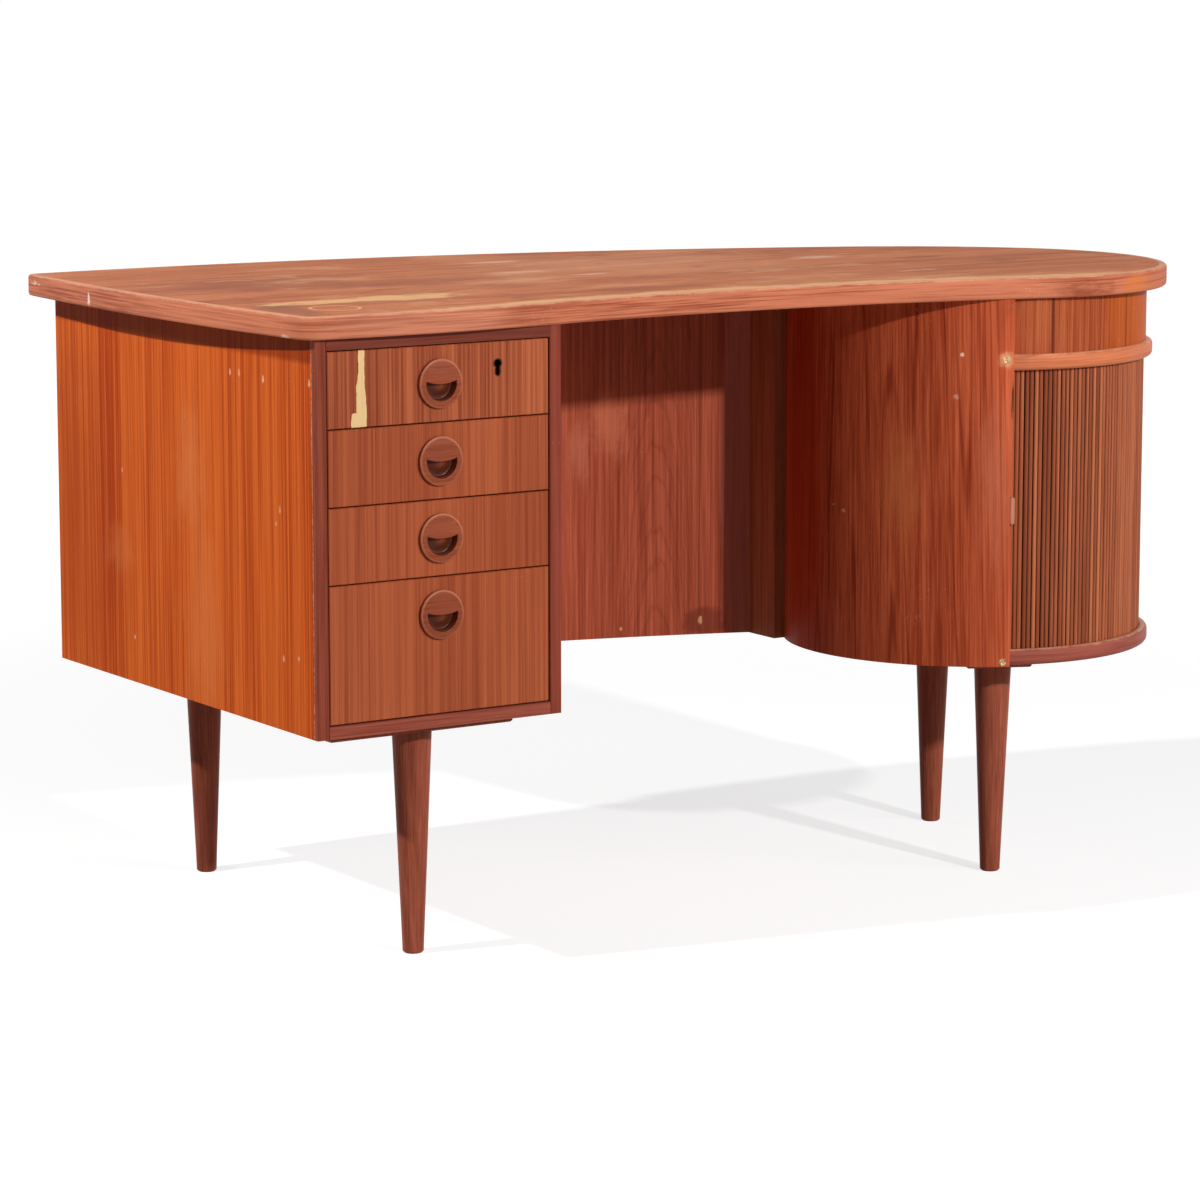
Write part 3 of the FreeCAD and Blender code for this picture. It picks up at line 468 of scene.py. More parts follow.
kneeLook = dict(
    grain=upright, pale=(0.50, 0.107, 0.052), deep=(0.27, 0.044, 0.018), contrast=1.0, lines=0.45,
    scuff=0.22, faded=(0.50, 0.14, 0.07), fade=0.7, rough=0.5, gloss=0.08)
kneeSpots = [
    ((0.58, 0.16, 0.080), 0.6, (0.024, 0.094, 0.532), (0.035, 0.1, 0.055), 1.2, 0.8),
    ((0.54, 0.16, 0.090), 0.5, (-0.015, 0.103, 0.500), (0.02, 0.1, 0.05), 1.2, 0.8),
    ((0.14, 0.022, 0.012), 0.6, (0.140, 0.058, 0.284), (0.03, 0.1, 0.022), 0.8, 0.4),
    ((0.70, 0.36, 0.16), 0.9, (0.135, 0.060, 0.2856), (0.003, 0.1, 0.006), 2.0, 0.4),
    ((0.70, 0.36, 0.16), 0.8, (0.038, 0.092, 0.2790), (0.002, 0.1, 0.003), 2.0, 0.4),
    # painted shade: a darker, greyer patch laid over the drum's cast shadow on the panel's right part
    ((0.40, 0.130, 0.090), 0.5, (0.195, 0.020, 0.480), (0.042, 0.1, 0.3), 0.2, 0.2),
    ((0.15, 0.026, 0.012), 0.5, (0.1335, 0.060, 0.480), (0.0016, 0.1, 0.3), 0.4, 0.6)]
arches = dict(middle=0.0796, peak=0.374, spacing=0.052, spread=0.019, power=1.7, reach=0.075, inner=0.35,
              wobble=2.4, share=0.24, ink=(0.13, 0.018, 0.008, 1))


def kneeFigure(tree, place, colour):
    # nested arches: lines where the height plus a power of the distance from the middle is a whole number
    x, _, z = parts(tree, place)
    aside = calc(tree, "ABSOLUTE", calc(tree, "SUBTRACT", x, arches["middle"]))
    fall = calc(tree, "POWER", calc(tree, "DIVIDE", aside, arches["spread"]), arches["power"])
    rise = calc(tree, "DIVIDE", calc(tree, "SUBTRACT", z, arches["peak"]), arches["spacing"])
    wobble = cloud(tree, moved(tree, "MULTIPLY", place, (1, 1, 0.3)), 28.0, 4.0, 0.62)
    wobble = calc(tree, "MULTIPLY", wobble, arches["wobble"])
    phase = calc(tree, "ADD", calc(tree, "ADD", fall, rise), wobble)
    line = step(tree, calc(tree, "PINGPONG", phase, 0.5), 0.17, 0.02)
    near = step(tree, aside, arches["reach"], arches["reach"] * arches["inner"])
    share = calc(tree, "MULTIPLY", calc(tree, "MULTIPLY", line, near), arches["share"])
    return blend(tree, share, colour, arches["ink"])


wear(teak("kneeVeneer", {**kneeLook, "spots": kneeSpots}, kneeFigure), "kneehole_panel")
wear(teak("backVeneer", kneeLook), "pedestal_back")
wear(teak("shelfVeneer", {**kneeLook, "grain": lengthwise}),
     "bookcase_bottom", "bookcase_shelf", "pedestal_shelf")
print("pedestal and bookcase finished")

# drum
panelChip = (0.80, 0.46, 0.22)
panelLook = dict(
    grain=longUpright, slant=(0.0, 0.03, 0.0), pale=(0.62, 0.127, 0.049), deep=(0.31, 0.044, 0.015),
    contrast=0.85, lines=0.35, rings=0.6, pores=0.25, scuff=0.25, faded=(0.58, 0.15, 0.06), fade=0.6,
    rough=0.48, gloss=0.05, spots=[
        # the dark spot on the panel's left part is painted shade where the pedestal keeps the light off
        ((0.36, 0.020, 0.003), 0.6, (0.181, -0.085, 0.450), (0.05, 0.060, 0.45), 0.4, 0.6),
        ((0.56, 0.16, 0.05), 0.5, (0.214, -0.244, 0.480), (0.03, 0.04, 0.09), 1.2, 0.9),
        ((0.62, 0.18, 0.10), 0.4, (0.295, -0.322, 0.480), (0.03, 0.03, 0.14), 1.2, 0.9),
        (panelChip, 0.9, (0.180, -0.155, 0.452), (0.0042, 0.0042, 0.0018), 2.2, 0.8),
        (panelChip, 0.9, (0.186, -0.170, 0.446), (0.0028, 0.0042, 0.0036), 2.2, 0.8),
        (panelChip, 0.8, (0.192, -0.187, 0.448), (0.0028, 0.0035, 0.0018), 2.2, 0.8),
        (panelChip, 0.7, (0.198, -0.207, 0.424), (0.0021, 0.0028, 0.0030), 2.2, 0.8),
        ((0.85, 0.60, 0.45), 0.8, (0.262, -0.299, 0.640), (0.003, 0.003, 0.003), 1.0, 0.4),
        ((0.80, 0.48, 0.32), 0.45, (0.257, -0.295, 0.590), (0.004, 0.005, 0.004), 1.8, 0.7)])


def aboutDrum(name):
    # outer radius of a node about the drum's axis, and its first and last angle in radians from +X
    points = np.array([vertex.co for vertex in nodes[name].data.vertices])
    x, y = points[:, 0] - drumX, points[:, 1] - drumY
    turn = np.arctan2(y, x)
    return np.hypot(x, y).max(), turn.min(), turn.max()


panelRadius = aboutDrum("drum_front_panel")[0]
slatRadius, slatStart, slatEnd = aboutDrum("tambour_slats")
bandRadius, panelEdge = aboutDrum("drum_base_band")[:2]
screws = dict(inset=0.009, levels=(0.6335, 0.2735), halos=(0.013, 0.006), halo=(0.84, 0.44, 0.22),
              radius=0.0042, proud=0.0006, shank=-0.002, collar=-0.0002, columns=40,
              rings=(0.94, 0.75, 0.5, 0.25, 0.02), slotWidth=0.0009, slotDepth=0.0008, turns=(105.0, 20.0))
screwAngle = panelEdge - screws["inset"] / panelRadius
screwX, screwY = drumX + panelRadius * math.cos(screwAngle), drumY + panelRadius * math.sin(screwAngle)
for height, halo in zip(screws["levels"], screws["halos"]):
    haloPlace = (screwX, screwY, height)
    panelLook["spots"].append((screws["halo"], 0.75, haloPlace, (halo, halo, halo), 0.8, 0.9))
edgeX, edgeY = drumX + panelRadius * math.cos(panelEdge), drumY + panelRadius * math.sin(panelEdge)
# a small dark spot on the panel's edge, at the finger tab's height
edgeDarkSpot = ((0.07, 0.020, 0.010), 0.9, (edgeX, edgeY, 0.582), (0.0035, 0.0035, 0.028), 1.8, 0.5)
panelLook["spots"].append(edgeDarkSpot)
wear(teak("drumVeneer", panelLook), "drum_front_panel")
wear(teak("drumRearVeneer", {**panelLook, "shift": (0.5, 0.1, 0.2), "spots": ()}), "drum_rear_panel")
friezeLook = dict(
    grain=upright, shift=(0.2, 0.6, 0.1), pale=(0.50, 0.125, 0.046), deep=(0.28, 0.05, 0.017),
    contrast=1.1, lines=0.6, scuff=0.3, rough=0.48, gloss=0.03, spots=[
        # the orange patch at the frieze's right is a painted pool of warm light
        ((0.52, 0.100, 0.008), 0.6, (0.515, -0.31, 0.67), (0.09, 0.1, 0.2), 1.2, 0.95),
        ((0.10, 0.022, 0.012), 0.8, (0.3676, -0.336, 0.67), (0.0032, 0.1, 0.2), 0.5, 0.6),
        ((0.13, 0.028, 0.010), 0.7, (0.4895, -0.323, 0.67), (0.0026, 0.1, 0.2), 0.7, 0.6)])
wear(teak("friezeVeneer", friezeLook), "drum_frieze")
wear(teak("deckVeneer", {**kneeLook, "grain": lengthwise}),
     "drum_base_deck", "drum_upper_deck", "drum_shelf")
wear(teak("linerWood", {**boxLook, "grain": upright}),
     "drum_liner", "drum_corner_post", "drum_shelf_cleats")

bandLook = dict(
    grain=level, pale=(0.68, 0.215, 0.095), deep=(0.44, 0.105, 0.040), contrast=0.9, scuff=0.35,
    scratch=(0.78, 0.5, 0.36), rough=0.5, gloss=0.08, depth=0.008, rounding=0.0055, sections=121)


def bandPiece(node, look):
    # an outline with two rounded outer corners, carried round the drum's axis from angle to angle
    low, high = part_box(node)
    inner = bandRadius - look["depth"]
    r = look["rounding"]
    outline = np.vstack([[(inner, low.z)], roundedCorner((bandRadius - r, low.z + r), r, -90, 0),
                         roundedCorner((bandRadius - r, high.z - r), r, 0, 90), [(inner, high.z)]])[::-1]
    turns = np.linspace(*aboutDrum(node)[1:], look["sections"])
    x = drumX + np.outer(np.cos(turns), outline[:, 0])
    y = drumY + np.outer(np.sin(turns), outline[:, 0])
    z = np.tile(outline[:, 1], (len(turns), 1))
    return np.stack([x, y, z], axis=2).reshape(-1, 3), tubeFaces(len(turns), len(outline), False)


# arris: a painted highlight and wear along an upper edge
arris = dict(depth=0.002, rag=2.5, share=0.55, worn=(0.86, 0.46, 0.28, 1))


def arrisHighlightAndWear(topEdge):
    # the last bit below the upper edge is paler, a painted highlight on the arris together with wear, with a
    # ragged lower limit
    depth = arris["depth"]

    def marks(tree, place, colour):
        z = parts(tree, place)[2]
        ragged = calc(tree, "SUBTRACT", cloud(tree, place, 45.0, 4.0, 0.7), 0.5)
        ragged = calc(tree, "MULTIPLY", ragged, depth * arris["rag"])
        edge = step(tree, calc(tree, "ADD", z, ragged), topEdge - depth, topEdge)
        return blend(tree, calc(tree, "MULTIPLY", edge, arris["share"]), colour, arris["worn"])
    return marks


baseTint = dict(pale=(0.40, 0.105, 0.070), deep=(0.22, 0.047, 0.030))
for node, name, tint in (("drum_upper_band", "upperBand", {}), ("drum_base_band", "baseBand", baseTint)):
    material = teak(name + "Teak", {**bandLook, **tint}, arrisHighlightAndWear(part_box(node)[1].z))
    surface(name, *bandPiece(node, bandLook), material, "carcass", "solid_teak", node)


# tambour: rounded reeds, two to a slat, in their own slightly different browns
slatLook = dict(
    grain=upright, pale=(0.46, 0.135, 0.060), deep=(0.25, 0.058, 0.024), contrast=1.0, scuff=0.12,
    lines=0.3, rough=0.5, gloss=0.04, dark=(0.19, 0.048, 0.024, 1), bright=(0.60, 0.19, 0.075, 1),
    paintedShade=(0.035, 0.010, 0.006, 1), paintedShadeStart=0.0005, paintedShadeShare=0.85, pitch=0.012, gap=0.0006,
    valley=0.0021, thickness=0.008, reeds=2, reedPoints=9)


def slatTones(tree, place, colour):
    # each reed is a little paler or darker, and the valleys between reeds get painted shade
    flat = moved(tree, "SUBTRACT", place, (drumX, drumY, 0))
    x, y, _ = parts(tree, flat)
    turn = calc(tree, "ARCTAN2", y, x)
    reedAngle = slatLook["pitch"] / slatLook["reeds"] / slatRadius
    reed = calc(tree, "FLOOR", calc(tree, "DIVIDE", calc(tree, "SUBTRACT", turn, slatStart), reedAngle))
    dice = put(tree, "ShaderNodeTexWhiteNoise", {"W": reed}, noise_dimensions="1D").outputs["Value"]
    colour = blend(tree, step(tree, dice, 0.45, 1.0, 0.0, 0.6), colour, slatLook["dark"])
    colour = blend(tree, step(tree, dice, 0.25, 0.0, 0.0, 0.5), colour, slatLook["bright"])
    reach = moved(tree, "LENGTH", moved(tree, "MULTIPLY", flat, (1, 1, 0)), (0, 0, 0))
    shallow, deep = slatRadius - slatLook["paintedShadeStart"], slatRadius - slatLook["valley"]
    paintedShade = step(tree, reach, shallow, deep, 0.0, slatLook["paintedShadeShare"])
    return blend(tree, paintedShade, colour, slatLook["paintedShade"])


def reedPiece(look):
    # each slat's outline has a half ellipse for each reed on the drum's circle, and stands from deck to deck
    pitch, gap = look["pitch"] / slatRadius, look["gap"] / slatRadius
    count = round((slatEnd - slatStart + gap) / pitch)
    low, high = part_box("tambour_slats")
    across = np.linspace(0, look["reeds"], look["reeds"] * (look["reedPoints"] - 1) + 1)
    bulge = slatRadius - look["valley"] * (1 - np.sqrt(1 - (2 * (across % 1) - 1) ** 2))
    inner = slatRadius - look["thickness"]
    radii = np.concatenate([[inner], bulge, [inner]])
    turns = np.concatenate([[0.0], across * (pitch - gap) / look["reeds"], [pitch - gap]])
    turns = (slatStart + pitch * np.arange(count))[:, None, None] + turns
    heights = np.array([low.z, high.z])[None, :, None]
    x, y, z = np.broadcast_arrays(drumX + radii * np.cos(turns), drumY + radii * np.sin(turns), heights)
    faces = sum((tubeFaces(2, len(radii), False, index * 2 * len(radii)) for index in range(count)), [])
    return np.stack([x, y, z], axis=3).reshape(-1, 3), faces


slatTeak = teak("slatTeak", slatLook, slatTones)
surface("reededSlats", *reedPiece(slatLook), slatTeak, "tambour", "tambour_teak", "tambour_slats")
wear(teak("stileTeak", {**slatLook, "pale": (0.40, 0.12, 0.05)}), "tambour_lead_stile")

tabLook = dict(corner=0.0022, easing=0.0010, rooted=0.0004, cornerPoints=6, easeRows=5,
               pale=(0.60, 0.27, 0.18), deep=(0.44, 0.17, 0.10))


def tabPiece(look):
    # a rectangle with round corners, bent onto the drum's circle and carried outwards,
    # drawn in by a quarter circle where its face is eased
    face, start, end = aboutDrum("tambour_pull")
    low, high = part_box("tambour_pull")
    corner, ease, count = look["corner"], look["easing"], look["cornerPoints"]
    degrees = 90.0 * np.arange(4)[:, None] + np.linspace(0.0, 90.0, count)
    turn = np.radians(degrees).ravel()
    middle = np.repeat(np.radians(90.0 * np.arange(4) + 45.0), count)
    centreU = np.sign(np.cos(middle)) * ((end - start) * face / 2 - corner)
    centreZ = np.sign(np.sin(middle)) * ((high.z - low.z) / 2 - corner)
    bend = np.linspace(0.0, math.pi / 2, look["easeRows"])
    inset = np.append(0.0, ease * (1 - np.cos(bend)))[:, None]
    out = np.append(slatRadius - look["rooted"], face - ease + ease * np.sin(bend))[:, None]
    angle = (start + end) / 2 + (centreU + np.cos(turn) * (corner - inset)) / face
    z = (low.z + high.z) / 2 + centreZ + np.sin(turn) * (corner - inset)
    points = np.stack([drumX + out * np.cos(angle), drumY + out * np.sin(angle), z], axis=2)
    return points.reshape(-1, 3), tubeFaces(*z.shape, False)


tabTeak = teak("fingerTab", {**slatLook, "pale": tabLook["pale"], "deep": tabLook["deep"]})
surface("fingerTab", *tabPiece(tabLook), tabTeak, "tambour", "turned_teak", "tambour_pull")
print("drum and tambour finished")

# top: the front hollow of its edge is a circle, so the depth behind it is a distance from that circle
edgePoints = np.array([vertex.co for vertex in nodes["desktop_lipping"].data.vertices])
lipLow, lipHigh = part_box("desktop_lipping")
nearFace = 0.002   # points this near the upper and lower faces are left out of the fit
hollowHalf, hollowBack = 0.14, -0.2   # limits in x and y of the front hollow's middle
hollow = edgePoints[(abs(edgePoints[:, 0]) < hollowHalf) & (edgePoints[:, 1] < hollowBack)]
hollow = hollow[hollow[:, 2] < lipHigh.z - nearFace]
hollow = hollow[hollow[:, 2] > lipLow.z + nearFace][:, :2]
unknowns = np.column_stack([2 * hollow, np.ones(len(hollow))])
fit = np.linalg.lstsq(unknowns, (hollow ** 2).sum(1), rcond=None)[0]
hollowCentre, hollowRadius = fit[:2], math.sqrt(fit[2] + fit[0] ** 2 + fit[1] ** 2)
print("front hollow radius", round(hollowRadius, 3))
topDark, topWhite = (0.31, 0.090, 0.055), (0.90, 0.58, 0.44)
topZ = lipHigh.z
topLook = dict(
    grain=lengthwise, pale=(0.68, 0.235, 0.105), deep=(0.43, 0.130, 0.055), contrast=1.0, lines=0.25,
    scuff=0.5, faded=(0.76, 0.31, 0.15), fade=0.6, rough=0.6, gloss=0.02,
    mottle=(0.80, 0.40, 0.22, 1), strip=(0.92, 0.55, 0.27, 1), glass=(0.92, 0.52, 0.27, 1),
    ring=(-0.5365, -0.2196), ringRadius=0.0275, spots=[
        (topDark, 0.65, (-0.480, 0.076, topZ), (0.22, 0.12, 0.1), 1.3, 0.8),
        (topDark, 0.55, (-0.288, -0.003, topZ), (0.17, 0.06, 0.1), 1.3, 0.8),
        (topDark, 0.45, (-0.126, -0.200, topZ), (0.15, 0.02, 0.1), 1.2, 0.8),
        ((0.26, 0.105, 0.060), 0.6, (-0.590, -0.210, topZ), (0.035, 0.09, 0.1), 1.0, 0.6),
        ((0.90, 0.52, 0.25), 0.8, (-0.520, -0.152, topZ), (0.085, 0.022, 0.1), 1.3, 0.35),
        ((0.90, 0.52, 0.25), 0.8, (-0.405, -0.150, topZ), (0.085, 0.036, 0.1), 1.3, 0.4),
        ((0.80, 0.39, 0.23), 0.35, (0.050, 0.080, topZ), (0.32, 0.20, 0.1), 1.2, 0.9),
        (topWhite, 0.6, (-0.082, 0.188, topZ), (0.055, 0.014, 0.1), 1.4, 0.8),
        (topWhite, 0.5, (-0.130, 0.053, topZ), (0.055, 0.016, 0.1), 1.4, 0.8),
        (topWhite, 0.6, (-0.073, -0.016, topZ), (0.035, 0.009, 0.1), 1.4, 0.7),
        (topWhite, 0.6, (0.288, 0.035, topZ), (0.050, 0.022, 0.1), 1.4, 0.8),
        (topWhite, 0.5, (0.286, -0.183, topZ), (0.040, 0.009, 0.1), 1.4, 0.7)])


def topMarks(tree, place, colour):
    # a tan strip behind the hollow front edge, and the ring that a glass left
    flat = moved(tree, "MULTIPLY", place, (1, 1, 0))
    depth = calc(tree, "SUBTRACT", moved(tree, "DISTANCE", flat, (*hollowCentre, 0)), hollowRadius)
    ragged = calc(tree, "SUBTRACT", cloud(tree, place, 14.0, 4.0, 0.6), 0.5)
    ragged = calc(tree, "MULTIPLY", ragged, 0.06)
    mottle = cloud(tree, moved(tree, "MULTIPLY", place, (0.5, 1, 1)), 16.0, 5.0, 0.68)
    colour = blend(tree, step(tree, mottle, 0.52, 0.70, 0.0, 0.5), colour, topLook["mottle"])
    colour = blend(tree, step(tree, mottle, 0.46, 0.30, 0.0, 0.6), colour, (*topDark, 1))
    strip = step(tree, calc(tree, "ADD", depth, ragged), 0.045, 0.022)
    colour = blend(tree, calc(tree, "MULTIPLY", strip, 0.7), colour, topLook["strip"])
    reach = moved(tree, "DISTANCE", flat, (*topLook["ring"], 0))
    line = calc(tree, "ABSOLUTE", calc(tree, "SUBTRACT", reach, topLook["ringRadius"]))
    return blend(tree, step(tree, line, 0.0026, 0.0008, 0.0, 0.75), colour, topLook["glass"])


wear(teak("topVeneer", topLook, topMarks), "desktop_core")

lippingLook = dict(
    grain=level, pale=(0.60, 0.190, 0.100), deep=(0.33, 0.080, 0.038), contrast=2.0, lines=0.7,
    scuff=0.3, scratch=(0.86, 0.62, 0.5), fade=0.5, rough=0.55, gloss=0.04, width=0.009,
    rounding=0.0038, wallStart=0.002, wallEnd=0.004, steps=4, spots=[
        ((0.84, 0.29, 0.155), 0.35, (-0.640, -0.120, 0.718), (0.10, 0.28, 0.1), 0.6, 0.8),
        ((0.42, 0.105, 0.050), 0.4, (0.560, -0.200, 0.718), (0.2, 0.25, 0.1), 0.6, 0.8),
        ((0.22, 0.040, 0.020), 0.75, (0.400, -0.376, 0.713), (0.065, 0.06, 0.016), 1.4, 0.8),
        ((0.66, 0.190, 0.045), 0.60, (0.485, -0.340, 0.716), (0.035, 0.05, 0.020), 0.8, 0.8),
        ((0.32, 0.050, 0.024), 0.60, (0.600, -0.240, 0.716), (0.080, 0.10, 0.022), 1.2, 0.8),
        ((0.28, 0.070, 0.040), 0.55, (0.263, -0.263, 0.718), (0.0009, 0.03, 0.05), 0.3, 0.6),
        ((0.74, 0.31, 0.19), 0.3, (-0.470, -0.310, 0.718), (0.16, 0.08, 0.1), 0.6, 0.6),
        ((0.90, 0.72, 0.62), 0.85, (-0.62, 0.318, 0.722), (0.022, 0.02, 0.006), 1.6, 0.5),
        ((0.90, 0.72, 0.62), 0.9, (-0.643, 0.166, 0.714), (0.02, 0.0038, 0.009), 2.4, 0.5),
        ((0.88, 0.62, 0.46), 0.7, (-0.625, -0.262, 0.707), (0.03, 0.010, 0.0024), 1.6, 0.5)])


def lippingPiece(look):
    # a rounded outline carried round the top. Its path joins points of the node's wall, in order of angle,
    # with cubics whose slope at a point is the mean of its two spans' slopes, the shorter span counting more
    over = edgePoints[:, 2] - lipLow.z
    wall = edgePoints[(over > look["wallStart"]) & (over < look["wallEnd"])][:, :2]
    wall = np.unique(np.round(wall, 6), axis=0)
    wall = wall[np.argsort(np.arctan2(wall[:, 1], wall[:, 0]))]
    before, after, beyond = np.roll(wall, 1, 0), np.roll(wall, -1, 0), np.roll(wall, -2, 0)
    span = np.linalg.norm(after - wall, axis=1)[:, None]
    lead = np.linalg.norm(wall - before, axis=1)[:, None]
    trail = np.linalg.norm(beyond - after, axis=1)[:, None]
    slope0 = ((wall - before) / lead * span + (after - wall) / span * lead) / (span + lead) * span
    slope1 = ((after - wall) / span * trail + (beyond - after) / trail * span) / (span + trail) * span
    t = np.linspace(0, 1, look["steps"], endpoint=False)[None, :, None]
    ends = (2 * t ** 3 - 3 * t ** 2 + 1) * wall[:, None] + (3 * t ** 2 - 2 * t ** 3) * after[:, None]
    bends = (t ** 3 - 2 * t ** 2 + t) * slope0[:, None] + (t ** 3 - t ** 2) * slope1[:, None]
    path = (ends + bends).reshape(-1, 2)
    along = np.roll(path, -1, 0) - np.roll(path, 1, 0)
    along /= np.linalg.norm(along, axis=1)[:, None]
    outward = np.column_stack([along[:, 1], -along[:, 0]])
    r = look["rounding"]
    outline = np.vstack([[(-look["width"], lipLow.z)], roundedCorner((-r, lipLow.z + r), r, -90, 0),
                         roundedCorner((-r, lipHigh.z - r), r, 0, 90), [(-look["width"], lipHigh.z)]])[::-1]
    flat = path[:, None, :] + outward[:, None, :] * outline[None, :, 0, None]
    heights = np.tile(outline[:, 1], (len(path), 1))[:, :, None]
    return np.concatenate([flat, heights], axis=2).reshape(-1, 3), tubeFaces(len(path), len(outline), True)


lippingTeak = teak("topLipping", lippingLook, arrisHighlightAndWear(topZ))
points, faces = lippingPiece(lippingLook)
surface("roundedLipping", points, faces, lippingTeak, "carcass", "solid_teak", "desktop_lipping")

legLook = dict(
    grain=upright, pale=(0.38, 0.099, 0.054), deep=(0.21, 0.045, 0.022), contrast=0.9, scuff=0.3,
    scratch=(0.6, 0.36, 0.24), rough=0.48, gloss=0.08)
wear(teak("legTeak", legLook), "legs", "pedestal_leg_battens", "drum_leg_batten")
print("top and legs finished")


canvasLook = dict(weave=320.0, thread=(0.16, 0.11, 0.06, 1), worn=(0.34, 0.26, 0.16, 1), rough=0.9,
                  bump=0.3, threadHeight=0.0004)


def canvasCloth():
    # coarse weave, half stripes and half patches
    material = bpy.data.materials.new("tambourCanvas")
    material.use_nodes = True
    tree = material.node_tree
    shader = tree.nodes["Principled BSDF"]
    here = put(tree, "ShaderNodeTexCoord").outputs["Object"]
    weave = {"Vector": here, "Scale": canvasLook["weave"], "Distortion": 1.0}
    warp = put(tree, "ShaderNodeTexWave", weave, bands_direction="Z").outputs["Fac"]
    patches = calc(tree, "MULTIPLY", cloud(tree, here, 60.0, 3.0), 0.5)
    tone = calc(tree, "ADD", calc(tree, "MULTIPLY", warp, 0.5), patches)
    colour = blend(tree, tone, canvasLook["thread"], canvasLook["worn"])
    tree.links.new(colour, shader.inputs["Base Color"])
    bumps = {"Height": warp, "Strength": canvasLook["bump"], "Distance": canvasLook["threadHeight"]}
    tree.links.new(put(tree, "ShaderNodeBump", bumps).outputs[0], shader.inputs["Normal"])
    shader.inputs["Roughness"].default_value = canvasLook["rough"]
    return material


def oldMetal(name, bright, dull):
    material = bpy.data.materials.new(name)
    material.use_nodes = True
    tree = material.node_tree
    shader = tree.nodes["Principled BSDF"]
    here = put(tree, "ShaderNodeTexCoord").outputs["Object"]
    tarnish = step(tree, cloud(tree, here, 120.0, 4.0, 0.6), 0.4, 0.7)
    tree.links.new(blend(tree, tarnish, (*bright, 1), (*dull, 1)), shader.inputs["Base Color"])
    tree.links.new(step(tree, tarnish, 0.0, 1.0, 0.35, 0.6), shader.inputs["Roughness"])
    shader.inputs["Metallic"].default_value = 1.0
    return material


wear(canvasCloth(), "tambour_canvas")
brass = oldMetal("lockBrass", (0.55, 0.40, 0.18), (0.22, 0.15, 0.07))
wear(brass, "lock_case", "lock_bolt")


def screwHead(height, turn):
    # rings about the panel's normal, from the shank out to the flat face, where the points nearer than the
    # slot's half width to a line through the middle lie deeper
    outward = np.array([math.cos(screwAngle), math.sin(screwAngle), 0.0])
    sideways = np.array([-outward[1], outward[0], 0.0])
    face = np.array([screwX, screwY, height]) + outward * screws["proud"]
    steps = np.linspace(0, 2 * math.pi, screws["columns"], endpoint=False)
    tilt = math.radians(turn)
    radius = screws["radius"] * np.array([1.0, 1.0, *screws["rings"]])[:, None]
    onFace = [0.0] * len(screws["rings"])
    out = np.array([screws["shank"], screws["collar"], *onFace])[:, None]
    u, v = radius * np.cos(steps), radius * np.sin(steps)
    inSlot = (abs(v) < screws["slotWidth"]) & (out == 0.0)
    depth = np.where(inSlot, -screws["slotDepth"], out)[:, :, None]
    x = (u * math.cos(tilt) - v * math.sin(tilt))[:, :, None]
    z = (u * math.sin(tilt) + v * math.cos(tilt))[:, :, None]
    points = face + x * sideways + z * np.array([0.0, 0.0, 1.0]) + depth * outward
    return points.reshape(-1, 3), tubeFaces(len(radius), len(steps), False)


steel = oldMetal("screwSteel", (0.50, 0.38, 0.22), (0.22, 0.15, 0.08))
for number, (height, turn) in enumerate(zip(screws["levels"], screws["turns"])):
    surface(f"panelScrew{number + 1}", *screwHead(height, turn), steel, "carcass", "lock_metal")
print("metal finished")

# studio
studio = dict(
    white=1.0, ambient=0.03, distance=5.0, aim=(0.0, 0.0, 0.45), floorTone=0.42, floorSize=60.0,
    floorNear=1.0, floorFar=4.0, floorLift=(0.74, 1.0),
    lamps=dict(frontKey=(8.0, 22.3, 0.66, 0.16), leftKey=(-95.0, 37.0, 0.70, 0.12),
               frontFill=(32.0, 18.0, 0.24, 2.5), backFill=(-160.0, 12.0, 0.10, 2.5)))


def lamp(name, azimuth, elevation, share, size):
    # share 1 would light a white card that faces the lamp to white
    a, e = math.radians(azimuth), math.radians(elevation)
    toLamp = np.array([math.sin(a) * math.cos(e), -math.cos(a) * math.cos(e), math.sin(e)])
    data = bpy.data.lights.new(name, "AREA")
    data.size = size
    data.energy = share * math.pi ** 2 * studio["distance"] ** 2
    lampObject = bpy.data.objects.new(name, data)
    bpy.context.scene.collection.objects.link(lampObject)
    lampObject.location = np.array(studio["aim"]) + toLamp * studio["distance"]
    lampObject.rotation_euler = (math.radians(90) - e, 0.0, a)


for name, settings in studio["lamps"].items():
    lamp(name, *settings)


def seenDirectly(tree):
    # 1 for rays from the camera, in mirrors and through glass
    path = put(tree, "ShaderNodeLightPath").outputs
    both = calc(tree, "MAXIMUM", path["Is Camera Ray"], path["Is Glossy Ray"])
    return calc(tree, "MAXIMUM", both, path["Is Transmission Ray"])


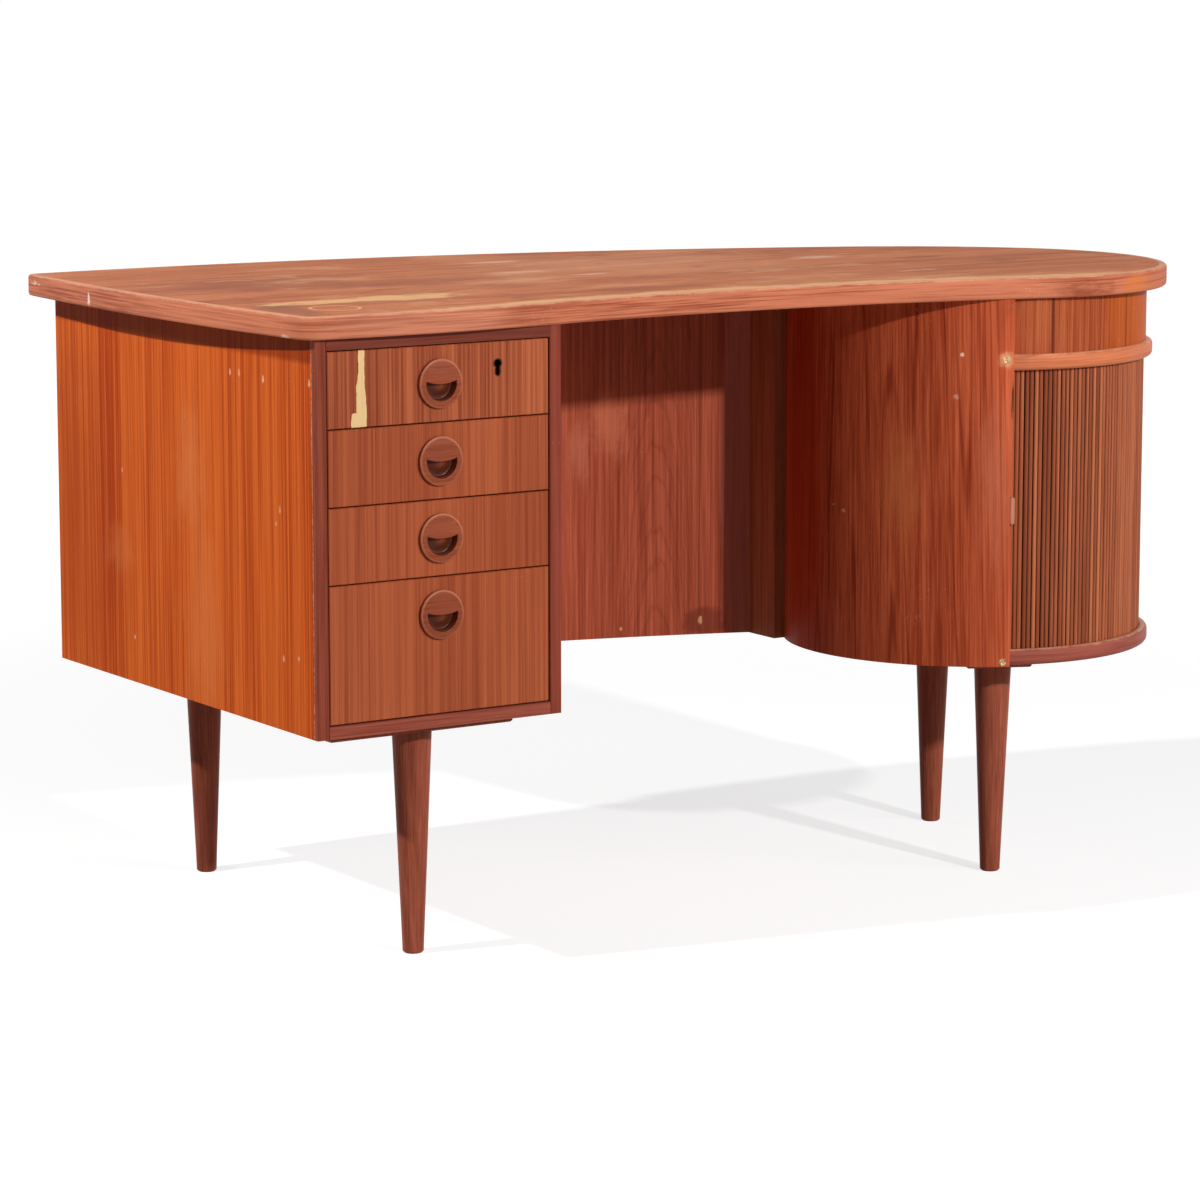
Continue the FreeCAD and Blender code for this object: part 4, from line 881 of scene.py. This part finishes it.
world = bpy.data.worlds.new("studioWorld")
bpy.context.scene.world = world
world.use_nodes = True
skyTree = world.node_tree
sky = skyTree.nodes["Background"]
sky.inputs["Color"].default_value = (1, 1, 1, 1)
skyLight = step(skyTree, seenDirectly(skyTree), 0.0, 1.0, studio["ambient"], studio["white"])
skyTree.links.new(skyLight, sky.inputs["Strength"])

half = studio["floorSize"] / 2
floorMesh = bpy.data.meshes.new("floor")
floorCorners = [(-half, -half, 0), (half, -half, 0), (half, half, 0), (-half, half, 0)]
floorMesh.from_pydata(floorCorners, [], [(0, 1, 2, 3)])
floor = bpy.data.objects.new("floor", floorMesh)
bpy.context.scene.collection.objects.link(floor)
floorPaint = bpy.data.materials.new("floorPaint")
floorPaint.use_nodes = True
floorTree = floorPaint.node_tree
floorShader = floorTree.nodes["Principled BSDF"]
floorShader.inputs["Base Color"].default_value = (studio["floorTone"],) * 3 + (1,)
floorShader.inputs["Roughness"].default_value = 0.9
floorShader.inputs["Specular IOR Level"].default_value = 0.0
floorShader.inputs["Emission Color"].default_value = (1, 1, 1, 1)
floorPlace = put(floorTree, "ShaderNodeTexCoord").outputs["Object"]
fromMiddle = moved(floorTree, "LENGTH", floorPlace, (0, 0, 0))
away = step(floorTree, fromMiddle, studio["floorNear"], studio["floorFar"], *studio["floorLift"])
glow = calc(floorTree, "MULTIPLY", seenDirectly(floorTree), away)
floorTree.links.new(glow, floorShader.inputs["Emission Strength"])
floorMesh.materials.append(floorPaint)

# camera, as the photograph's
cameraView = dict(place=(-2.9080, -4.4193, 1.1895), pitchDown=9.221, yaw=32.882, lens=132.98, sensor=36.0)
cameraData = bpy.data.cameras.new("camera")
cameraData.lens = cameraView["lens"]
cameraData.sensor_width = cameraView["sensor"]
cameraData.clip_end = 200.0
camera = bpy.data.objects.new("camera", cameraData)
camera.location = cameraView["place"]
camera.rotation_euler = (math.radians(90 - cameraView["pitchDown"]), 0.0, math.radians(-cameraView["yaw"]))
bpy.context.scene.collection.objects.link(camera)
bpy.context.scene.camera = camera
bpy.context.scene.view_settings.view_transform = "Standard"
print("studio and camera ready")
